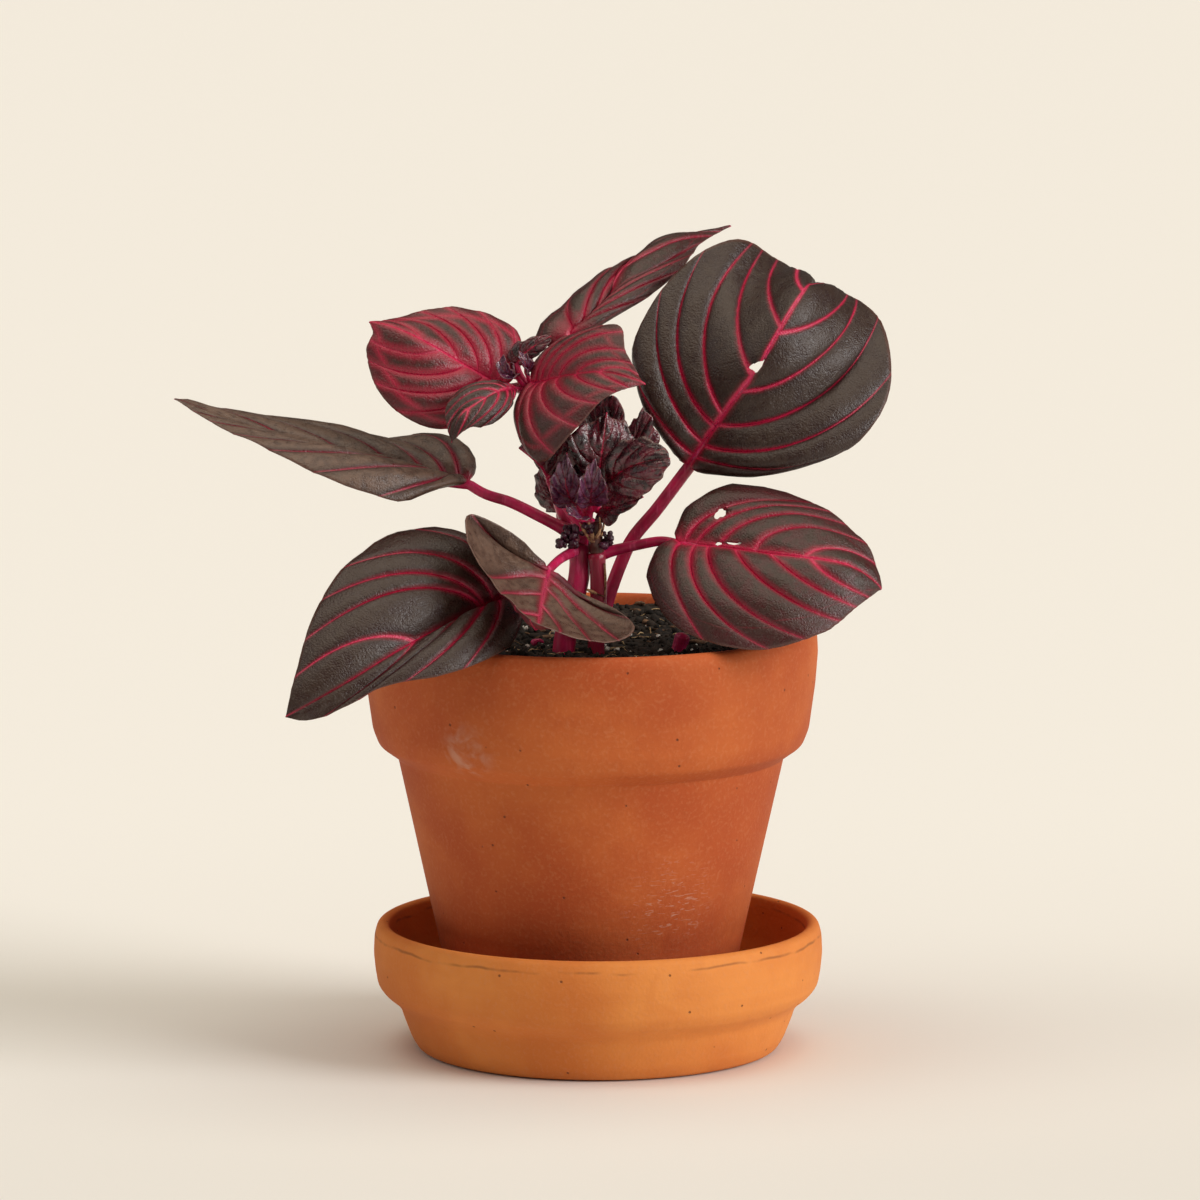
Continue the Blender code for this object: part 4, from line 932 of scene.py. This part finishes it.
def make_leaf(piece_name, name, leaf, looks):
    """One leaf: two half blades, and a stalk that runs on as the midrib."""
    small = name.startswith(("crown", "tip"))
    lean = SMALL_VEIN_LEAN if small else VEIN_LEAN
    across = np.linspace(0.0, 1.0, SMALL_COLUMNS if small else BIG_COLUMNS)
    default = FEW_VEINS if small else EVEN_VEINS
    veins = VEINS.get(name, dict(left=default, right=default))
    seed = sum(ord(letter) for letter in name)
    thickness = THICKNESS * (1 - 0.45 * across**2)
    points, faces, slots, values, places = [], [], [], [], []
    total = 0
    for edge, sign, side in zip(edge_points(leaf), (-1, 1), ("left", "right")):
        rows, marks = vein_rows(veins[side], SMALL_BETWEEN if small else BIG_BETWEEN)
        grid, edge_share = half_grid(leaf, edge, sign, rows, across, lean)
        size = min(1.0, np.linalg.norm(grid[:, -1] - grid[:, 0], axis=1).max() / 30)
        one, place = blade_values(grid, marks, across, edge_share, size)
        grid = puffed(grid, grid_normals(grid, sign), marks, across, edge_share, 0.5 + 0.5 * size,
            small, seed + sign)
        hidden = hole_faces(grid, HOLES.get(name, ()))
        shell, shell_faces, shell_slots = half_shell(grid, grid_normals(grid, sign), sign, hidden, thickness)
        faces += [tuple(index + total for index in face) for face in shell_faces]
        slots += shell_slots
        points.append(shell)
        values += [one, one]
        places += [place, place]
        total += len(shell)
    for rings in stalk_rings(name, leaf, edge_points(leaf), small):
        faces += tube_faces(rings, total)
        count = rings.shape[0] * rings.shape[1]
        points.append(rings.reshape(-1, 3))
        values.append(np.zeros((count, 3)))
        places.append(np.zeros((count, 3)))
        total += count
    slots += [2] * (len(faces) - len(slots))
    tint = np.tile(REDNESS.get(name, YOUNG_REDNESS), (total, 1))
    attributes = {"veins": np.concatenate(values), "blade": np.concatenate(places), "tint": tint}
    piece = mesh_piece(piece_name, np.concatenate(points), faces, looks, slots, attributes)
    keep(piece, LEAF_SLOTS.get(name, "dark_leaf"), name)
    return piece


def blade_values(grid, marks, across, edge_share, size):
    """Values at a half blade's points for its look.

    The first three are how far the nearest side vein, the midrib and the loop between the side
    veins are, as a multiple of half their width. The others are the place across, between the
    veins and along the edge.
    """
    near, middle = spread(grid, marks)
    vein_width = VEIN_WIDTH * (0.4 + 0.6 * size) * (1 - 0.5 * across)
    rib_width = MIDRIB_WIDTH * (0.35 + 0.65 * size) * (1.1 - 0.85 * edge_share)
    place = between_veins(marks, len(grid))[2][:, None]
    loop = (across - LOOP_START - LOOP_RISE * place) * middle[:, -1:] / LOOP_WIDTH
    veins = np.stack([near / vein_width, middle / rib_width, loop], axis=-1)
    places = np.stack([np.broadcast_to(across, near.shape), np.broadcast_to(place, near.shape), edge_share], -1)
    return veins.reshape(-1, 3), places.reshape(-1, 3)


def stalk_rings(name, leaf, edges, small):
    """Rings round the stalk and on along the midrib to the leaf's tip, in one or two lengths."""
    steps = 14 if small else 30
    start, end = leaf["stalk_radius"]
    shares = np.linspace(-STALK_ROOT / route_length(leaf["stalk"]), 1.0, steps)[:-1]
    stalk = smooth_curve(leaf["stalk"], shares)
    away = (shares - shares[0]) * route_length(leaf["stalk"])
    stalk_radii = start + (end - start) * np.clip(shares, 0, 1)
    stalk_radii = stalk_radii * (1 + STALK_FLARE * np.exp(-away / 1.6))
    ribs = np.linspace(0.0, 1.0, 2 * steps)
    midrib = smooth_curve(leaf["midrib"], ribs)
    rib_radii = end * MIDRIB_SHARE * (1 - ribs) ** 0.8 + MIDRIB_TIP
    blend = np.clip(1 - ribs / 0.12, 0, 1)
    rib_radii = rib_radii + (end - rib_radii) * blend
    ahead = direction(leaf["midrib"], ribs)
    left = smooth_curve(edges[0], np.clip(ribs + 0.25, 0, 0.9))
    right = smooth_curve(edges[1], np.clip(ribs + 0.25, 0, 0.9))
    up = unit(np.cross(right - left, ahead))
    depth = (rib_radii * (0.75 - 0.6 * blend))[:, None]
    route = np.concatenate([stalk, midrib - up * depth])
    radii = np.concatenate([stalk_radii, rib_radii])
    ups = np.concatenate([np.tile(up[0], (len(stalk), 1)), up])
    rings = tube_rings(route, radii[:, None], STALK_SIDES, ups)
    for hole in HOLES.get(name, ())[:1]:
        torn = np.flatnonzero(off_hole(route, hole) < 1)
        if len(torn):
            return [rings[:torn[0]], rings[torn[-1] + 1:]]
    return [rings]


def route_length(points):
    """Length of a route in millimetres."""
    return float(np.linalg.norm(np.diff(np.asarray(points, float), axis=0), axis=1).sum())


def make_stem(name, stem, look, slot):
    """One stem or shoot: a ribbed, slightly knotted tube with rounded ends."""
    root = STEM_ROOT.get(name, 0.0)
    length = route_length(stem["path"])
    shares = np.linspace(-root / length, 1.0, STEM_STEPS)
    middle = smooth_curve(stem["path"], shares)
    start, end = stem["radius"]
    radii = start + (end - start) * np.clip(shares, 0, 1)
    away = (1 - shares) * length
    radii = radii * (1 + 0.10 * np.exp(-((away - 1.5) / 2.0) ** 2))
    radii = radii * np.sqrt(np.clip(1 - (1 - np.clip(away / 1.2, 0, 1)) ** 2, 0.02, 1))
    seed = sum(ord(letter) for letter in name)
    wobble = wave_line(random_waves(5, seed, 1, 6), shares)
    turn = np.linspace(0.0, 2 * math.pi, STEM_SIDES, endpoint=False)
    ribs = 1 + 0.03 * np.cos(6 * turn + seed)[None, :] + 0.03 * wobble[:, None]
    rings = tube_rings(middle, radii[:, None] * ribs, STEM_SIDES)
    piece = mesh_piece(name + "_skin", rings.reshape(-1, 3), tube_faces(rings), [look])
    keep(piece, slot, name)
    return piece


def make_side_buds(look):
    """Clusters of small buds in the angles between stems and stalks, as one piece."""
    random = np.random.RandomState(5)
    base, base_faces = pebble(3)
    points, faces = [], []
    for centre, count, reach in SIDE_BUDS:
        for _ in range(count):
            size = random.uniform(0.6, 1.15) * np.array([0.8, 0.8, 1.1])
            ripple = 1 + 0.12 * np.sin(5 * base[:, :1] + 7 * base[:, 2:] + random.uniform(0, 6))
            bud = base * ripple * size @ turning(random).T
            first = len(points) * len(base)
            points.append(bud + centre + random.uniform(-1, 1, 3) * np.array(reach) * 0.7)
            faces += [[index + first for index in face] for face in base_faces]
    piece = mesh_piece("side_buds", np.concatenate(points), faces, [look])
    keep(piece, "purple_leaf")


def make_scraps(looks):
    """Torn dry strips on the stub and the stem, and a pink bit on the soil."""
    for number, (kind, radius, route) in enumerate(SCRAPS):
        shares = np.linspace(0.0, 1.0, 12)
        turn = np.linspace(0.0, 2 * math.pi, 8, endpoint=False)
        flat = 0.35 + 0.65 * np.abs(np.cos(turn + number))
        radii = radius * (1 - 0.75 * shares[:, None] ** 2) * flat * (1 + 0.25 * np.sin(9 * shares + number))[:, None]
        rings = tube_rings(smooth_curve(route, shares), radii, 8)
        piece = mesh_piece(f"scrap_{number}", rings.reshape(-1, 3), tube_faces(rings), [looks[kind]])
        keep(piece, "dry_stem" if kind == "dry" else "red_stem")


def turned(name, profile, centre_x, look, uneven, seed, drained=True):
    """Turn a profile of (radius, height) points, a little unevenly as clay is.

    A drained one is a closed outline round a hole. Another one is open and gets two flat middles.
    """
    profile = np.asarray(profile, float)
    turn = np.linspace(0.0, 2 * math.pi, TURN_STEPS, endpoint=False)
    steps = len(profile)
    sway = np.zeros((steps, TURN_STEPS))
    random = np.random.RandomState(seed)
    for lobes in (1, 2, 3, 5, 8, 13):
        phase = random.uniform(0, 2 * math.pi)
        drift = random.uniform(-2.0, 2.0)
        sway += np.sin(lobes * turn[None, :] + phase + drift * profile[:, 1:] / 25) / lobes**0.5
    shift = uneven * sway / 3
    radius = profile[:, 0:1] + shift * (profile[:, 0:1] > 6)
    height = profile[:, 1:] + 0.4 * shift * (profile[:, 1:] > 6.5)
    points = np.stack([centre_x + radius * np.cos(turn), radius * np.sin(turn),
        np.broadcast_to(height, radius.shape)], axis=-1)
    faces = []
    for row in range(steps if drained else steps - 1):
        after = (row + 1) % steps
        for step in range(TURN_STEPS):
            following = (step + 1) % TURN_STEPS
            faces.append((row * TURN_STEPS + step, row * TURN_STEPS + following,
                after * TURN_STEPS + following, after * TURN_STEPS + step))
    if not drained:
        top = (steps - 1) * TURN_STEPS
        faces += [tuple(range(TURN_STEPS - 1, -1, -1)), tuple(range(top, top + TURN_STEPS))]
    return mesh_piece(name, points.reshape(-1, 3), faces, [look])


def rounded(corners, reach=1.0, steps=5):
    """A closed outline whose corners are rounded over a distance before and after each."""
    corners = np.asarray(corners, float)
    points = []
    for before, corner, after in zip(np.roll(corners, 1, 0), corners, np.roll(corners, -1, 0)):
        into = corner - before
        out = after - corner
        span = min(reach, 0.45 * np.linalg.norm(into), 0.45 * np.linalg.norm(out))
        start = corner - unit(into) * span
        end = corner + unit(out) * span
        for share in np.linspace(0.0, 1.0, steps):
            points.append((1 - share) ** 2 * start + 2 * share * (1 - share) * corner + share**2 * end)
    return np.array(points)


def fine(outline, longest=1.6):
    """Add points so that no step of a closed outline is longer than this."""
    points = []
    for start, end in zip(outline, np.roll(outline, -1, 0)):
        count = max(1, math.ceil(np.linalg.norm(end - start) / longest))
        points += [start + (end - start) * step / count for step in range(count)]
    return np.array(points)


def make_pot():
    body = [(5.5, 6.0), (31.6, 6.0), (45.9, 70.4)]
    band = [(46.6, 70.9), (50.4, 73.6), (51.8, 77.2), (53.3, 88.0), (53.9, 95.5), (53.7, 99.3)]
    lip = [(52.9, 101.2), (51.6, 101.7), (50.3, 101.3), (49.6, 99.8), (46.0, 84.0)]
    inside = [(27.5, 12.0), (5.5, 12.0)]
    outline = fine(rounded(body + band + lip + inside))
    piece = turned("clay_pot", outline, POT_X, pot_clay(), 0.16, 11)
    keep(piece, "pot_clay", "pot")


def make_saucer():
    floor = [(2.0, 5.7), (2.0, 0.0)]
    foot = [(41.2, 0.0), (42.9, 0.5), (44.5, 3.1), (46.2, 7.5), (47.1, 10.2)]
    band = [(48.5, 11.8), (50.9, 13.6), (52.4, 15.6), (53.0, 19.0), (53.4, 23.0), (53.2, 27.3)]
    lip = [(52.5, 29.7), (51.2, 30.4), (49.9, 30.0), (49.3, 28.0)]
    inside = [(47.8, 20.0), (45.2, 11.5), (43.0, 7.4), (40.0, 5.7)]
    outline = fine(rounded(floor + foot + band + lip + inside))
    outline = outline[outline[:, 0] > SAUCER_MIDDLE]
    piece = turned("clay_saucer", outline, 0.0, saucer_clay(), 0.14, 29, drained=False)
    keep(piece, "saucer_clay", "saucer")


def lattice(x, y, size, seed):
    """Smooth random values from -1 to 1 whose lumps are about this size."""
    table = np.random.RandomState(seed).uniform(-1, 1, (97, 97))
    x, y = x / size, y / size
    column, row = np.floor(x).astype(int), np.floor(y).astype(int)
    a, b = x - column, y - row
    a, b = a * a * (3 - 2 * a), b * b * (3 - 2 * b)
    corner = [table[(row + j) % 97, (column + i) % 97] for j in (0, 1) for i in (0, 1)]
    return (corner[0] * (1 - a) + corner[1] * a) * (1 - b) + (corner[2] * (1 - a) + corner[3] * a) * b


def soil_height(x, y):
    """Height of the soil's surface: dished in the middle and crumbly."""
    away = np.hypot(x - POT_X, y) / SOIL_RADIUS
    height = SOIL_MIDDLE + SOIL_RISE * away**2
    for size, depth, seed in ((9.0, 0.5, 3), (4.0, 0.45, 4), (1.9, 0.35, 5), (0.9, 0.2, 6)):
        height = height + depth * lattice(x + 200, y + 200, size, seed)
    return height


def make_soil(look):
    """The soil's surface as a crumbly sheet that closes down along the pot's wall."""
    rings = np.linspace(0.004, 1.0, SOIL_RINGS) ** 0.7
    turn = np.linspace(0.0, 2 * math.pi, SOIL_STEPS, endpoint=False)
    x = POT_X + SOIL_RADIUS * rings[:, None] * np.cos(turn)
    y = SOIL_RADIUS * rings[:, None] * np.sin(turn)
    top = np.stack([x, y, soil_height(x, y)], axis=-1)
    skirt = [np.stack([POT_X + radius * np.cos(turn), radius * np.sin(turn), np.full(SOIL_STEPS, low)], -1)
        for radius, low in ((SOIL_RADIUS - 4.0, 84.0), (27.0, 12.4))]
    rows = np.concatenate([top, np.array(skirt)])
    piece = mesh_piece("soil_bed", rows.reshape(-1, 3), tube_faces(rows), [look])
    keep(piece, "potting_soil", "soil")


def pebble(subdivisions):
    """Points and faces of a small round body of radius one."""
    work = bmesh.new()
    bmesh.ops.create_icosphere(work, subdivisions=subdivisions, radius=1.0)
    points = np.array([vertex.co for vertex in work.verts])
    faces = [[vertex.index for vertex in face.verts] for face in work.faces]
    work.free()
    return points, faces


def turning(random):
    """A random turn as a matrix."""
    values = random.normal(size=4)
    w, x, y, z = values / np.linalg.norm(values)
    return np.array([[1 - 2 * (y * y + z * z), 2 * (x * y - z * w), 2 * (x * z + y * w)],
        [2 * (x * y + z * w), 1 - 2 * (x * x + z * z), 2 * (y * z - x * w)],
        [2 * (x * z - y * w), 2 * (y * z + x * w), 1 - 2 * (x * x + y * y)]])


def make_crumbs(name, count, sizes, shape, sink, look, seed, rough=0.35):
    """Scatter irregular crumbs over the soil, as one piece."""
    random = np.random.RandomState(seed)
    base, base_faces = pebble(1)
    points, faces = [], []
    for _ in range(count):
        away = SOIL_RADIUS * 0.985 * math.sqrt(random.uniform())
        turn = random.uniform(0, 2 * math.pi)
        x, y = POT_X + away * math.cos(turn), away * math.sin(turn)
        size = sizes[0] + (sizes[1] - sizes[0]) * random.uniform() ** 2.5
        stretch = np.array(shape) * random.uniform(0.75, 1.25, 3) * size / 2
        crumb = base * (1 + rough * random.uniform(-1, 1, (len(base), 1))) * stretch
        crumb = crumb @ turning(random).T if shape[2] > 0.5 else crumb @ tilted(random).T
        height = float(soil_height(np.array(x), np.array(y))) + stretch[2] * sink
        first = len(points) * len(base)
        points.append(crumb + (x, y, height))
        faces += [[index + first for index in face] for face in base_faces]
    piece = mesh_piece(name, np.concatenate(points), faces, [look])
    keep(piece, "potting_soil")


def tilted(random):
    """A random turn about the vertical with a slight lean, for flat chips."""
    turn, lean = random.uniform(0, 2 * math.pi), random.uniform(-0.5, 0.5)
    level = np.array([[math.cos(turn), -math.sin(turn), 0], [math.sin(turn), math.cos(turn), 0], [0, 0, 1]])
    over = np.array([[1, 0, 0], [0, math.cos(lean), -math.sin(lean)], [0, math.sin(lean), math.cos(lean)]])
    return level @ over


def make_fibres(name, count, look, seed):
    """Short bent bits of straw and root that lie on the soil, as one piece."""
    random = np.random.RandomState(seed)
    points, faces = [], []
    first = 0
    for _ in range(count):
        away = SOIL_RADIUS * 0.95 * math.sqrt(random.uniform())
        turn = random.uniform(0, 2 * math.pi)
        heading, bend = random.uniform(0, 2 * math.pi), random.uniform(-0.9, 0.9)
        length, radius = random.uniform(2.0, 8.0), random.uniform(0.08, 0.22)
        share = np.linspace(0.0, 1.0, 9)
        x = POT_X + away * math.cos(turn) + length * share * np.cos(heading + bend * share)
        y = away * math.sin(turn) + length * share * np.sin(heading + bend * share)
        inside = np.minimum(1.0, SOIL_RADIUS * 0.98 / np.maximum(np.hypot(x - POT_X, y), 1e-6))
        x, y = POT_X + (x - POT_X) * inside, y * inside
        rise = 0.5 * np.sin(share * math.pi * random.uniform(0.6, 1.4))
        middle = np.stack([x, y, soil_height(x, y) + 0.2 + rise], axis=-1)
        rings = tube_rings(middle, np.full((9, 5), radius) * (1 - 0.5 * share[:, None]), 5)
        points.append(rings.reshape(-1, 3))
        faces += tube_faces(rings, first)
        first += 45
    piece = mesh_piece(name, np.concatenate(points), faces, [look])
    keep(piece, "potting_soil")


def make_floor():
    """The pale floor, which is all that shows behind the plant too, with painted shade darkening its front."""
    look = Look("floor")
    look.bump(look.noise(1.2, 3), 0.02)
    # Painted shade darkens the floor towards the front
    pale = look.mix(look.steps(look.axis(1), *FLOOR_FADE), FLOOR_PAINTED_SHADE, FLOOR_COLOUR)
    material = look.finish(pale, 0.75, 0.2)
    side, far = 4000, 6000
    corners = [(-side, -side, 0), (side, -side, 0), (side, far, 0), (-side, far, 0)]
    points = [(x, y, FLOOR_HEIGHT) for x, y, _ in corners]
    floor = mesh_piece("floor", points, [(0, 1, 2, 3)], [material])


def soft_sun(name, height, side, width, power, colour):
    """A large soft box far away, as a wide sun."""
    data = bpy.data.lights.new(name, "SUN")
    data.energy = power
    data.color = colour
    data.angle = math.radians(width)
    light = bpy.data.objects.new(name, data)
    light.rotation_euler = (math.radians(90 - height), 0, math.radians(side))
    bpy.context.scene.collection.objects.link(light)


def make_studio():
    """Camera, lights and the world's even light."""
    scene = bpy.context.scene
    camera = bpy.data.objects.new("camera", bpy.data.cameras.new("camera"))
    camera.location = [value * MM for value in CAMERA_PLACE]
    camera.rotation_euler = (math.radians(90 - CAMERA_PITCH), 0, 0)
    camera.data.lens = CAMERA_LENS
    camera.data.clip_end = 50
    scene.collection.objects.link(camera)
    scene.camera = camera
    for name, settings in LIGHTS.items():
        soft_sun(name, *settings)
    world = bpy.data.worlds.new("world")
    world.use_nodes = True
    background = world.node_tree.nodes["Background"]
    background.inputs["Color"].default_value = (*WORLD_COLOUR, 1.0)
    background.inputs["Strength"].default_value = WORLD_STRENGTH
    scene.world = world
    scene.view_settings.view_transform = "Standard"
    scene.view_settings.look = "None"


def make_plant():
    stem = stem_look("red_stem", STEM_RED, STEM_DARK, STEM_PALE)
    dry = stem_look("dry_stem", DRY_BROWN, DRY_DARK, DRY_PALE)
    pink = stem_look("pink_stub", STUB_PINK, STEM_RED, STUB_PALE)
    under = under_look("leaf_underside", UNDER_RED, UNDER_VEIN)
    dark = leaf_look("leaf_dark", LEAF_BLACK, LEAF_OLIVE, VEIN_RED)
    grey = leaf_look("leaf_grey", LEAF_OLIVE, LEAF_GREY, VEIN_DULL)
    young = young_look("leaf_young", YOUNG_DARK, YOUNG_RED, VEIN_SEAM)
    # The buds' lilac blotches are painted highlights
    bud = young_look("leaf_bud", BUD_DARK, BUD_LILAC_HIGHLIGHT, VEIN_SEAM)
    maroon = stem_look("maroon_stem", STEM_MAROON, STEM_DARK, STEM_RED)
    looks = {"dried_stub": dry, "cut_stub": pink, "stem_right": maroon}
    # The side buds' lilac streaks are painted glints
    make_side_buds(stem_look("side_buds", BUD_PURPLE, BUD_BLACK, BUD_LILAC_HIGHLIGHT))
    make_scraps({"dry": crumb_look("scraps", SCRAP_TAN, DRY_BROWN, 1.0), "pink": pink})
    for name, shape in STEMS.items():
        slot = "dry_stem" if name == "dried_stub" else "red_stem"
        make_stem(name, shape, looks.get(name, stem), slot)
    for name, leaf in LEAVES.items():
        upper = young if name.startswith(("crown", "tip")) else dark
        upper = bud if LEAF_SLOTS.get(name) == "purple_leaf" else upper
        upper = grey if name in GREY_LEAVES else upper
        make_leaf(name + "_blade", name, leaf, [upper, under, stem])


def main():
    make_studio()
    make_floor()
    make_pot()
    make_saucer()
    make_soil(crumb_look("soil_bed", SOIL_BROWN, SOIL_BLACK, 1.5))
    make_crumbs("soil_crumbs", 1500, (0.7, 2.8), (1, 1, 0.8), 0.2,
        crumb_look("crumbs", SOIL_BROWN, SOIL_BLACK, 2.5), 21)
    make_crumbs("soil_bark", 70, (2.0, 6.0), (1, 0.5, 0.22), 0.8,
        crumb_look("bark", BARK_LIGHT, BARK_DARK, 1.2), 22)
    make_crumbs("soil_perlite", 90, (0.5, 1.8), (1, 1, 1), 0.5,
        crumb_look("perlite", PERLITE, PERLITE_GREY, 0.7, 0.7), 23)
    make_fibres("soil_fibres", 60, crumb_look("straw", STRAW, BARK_LIGHT, 1.0), 24)
    make_plant()


main()
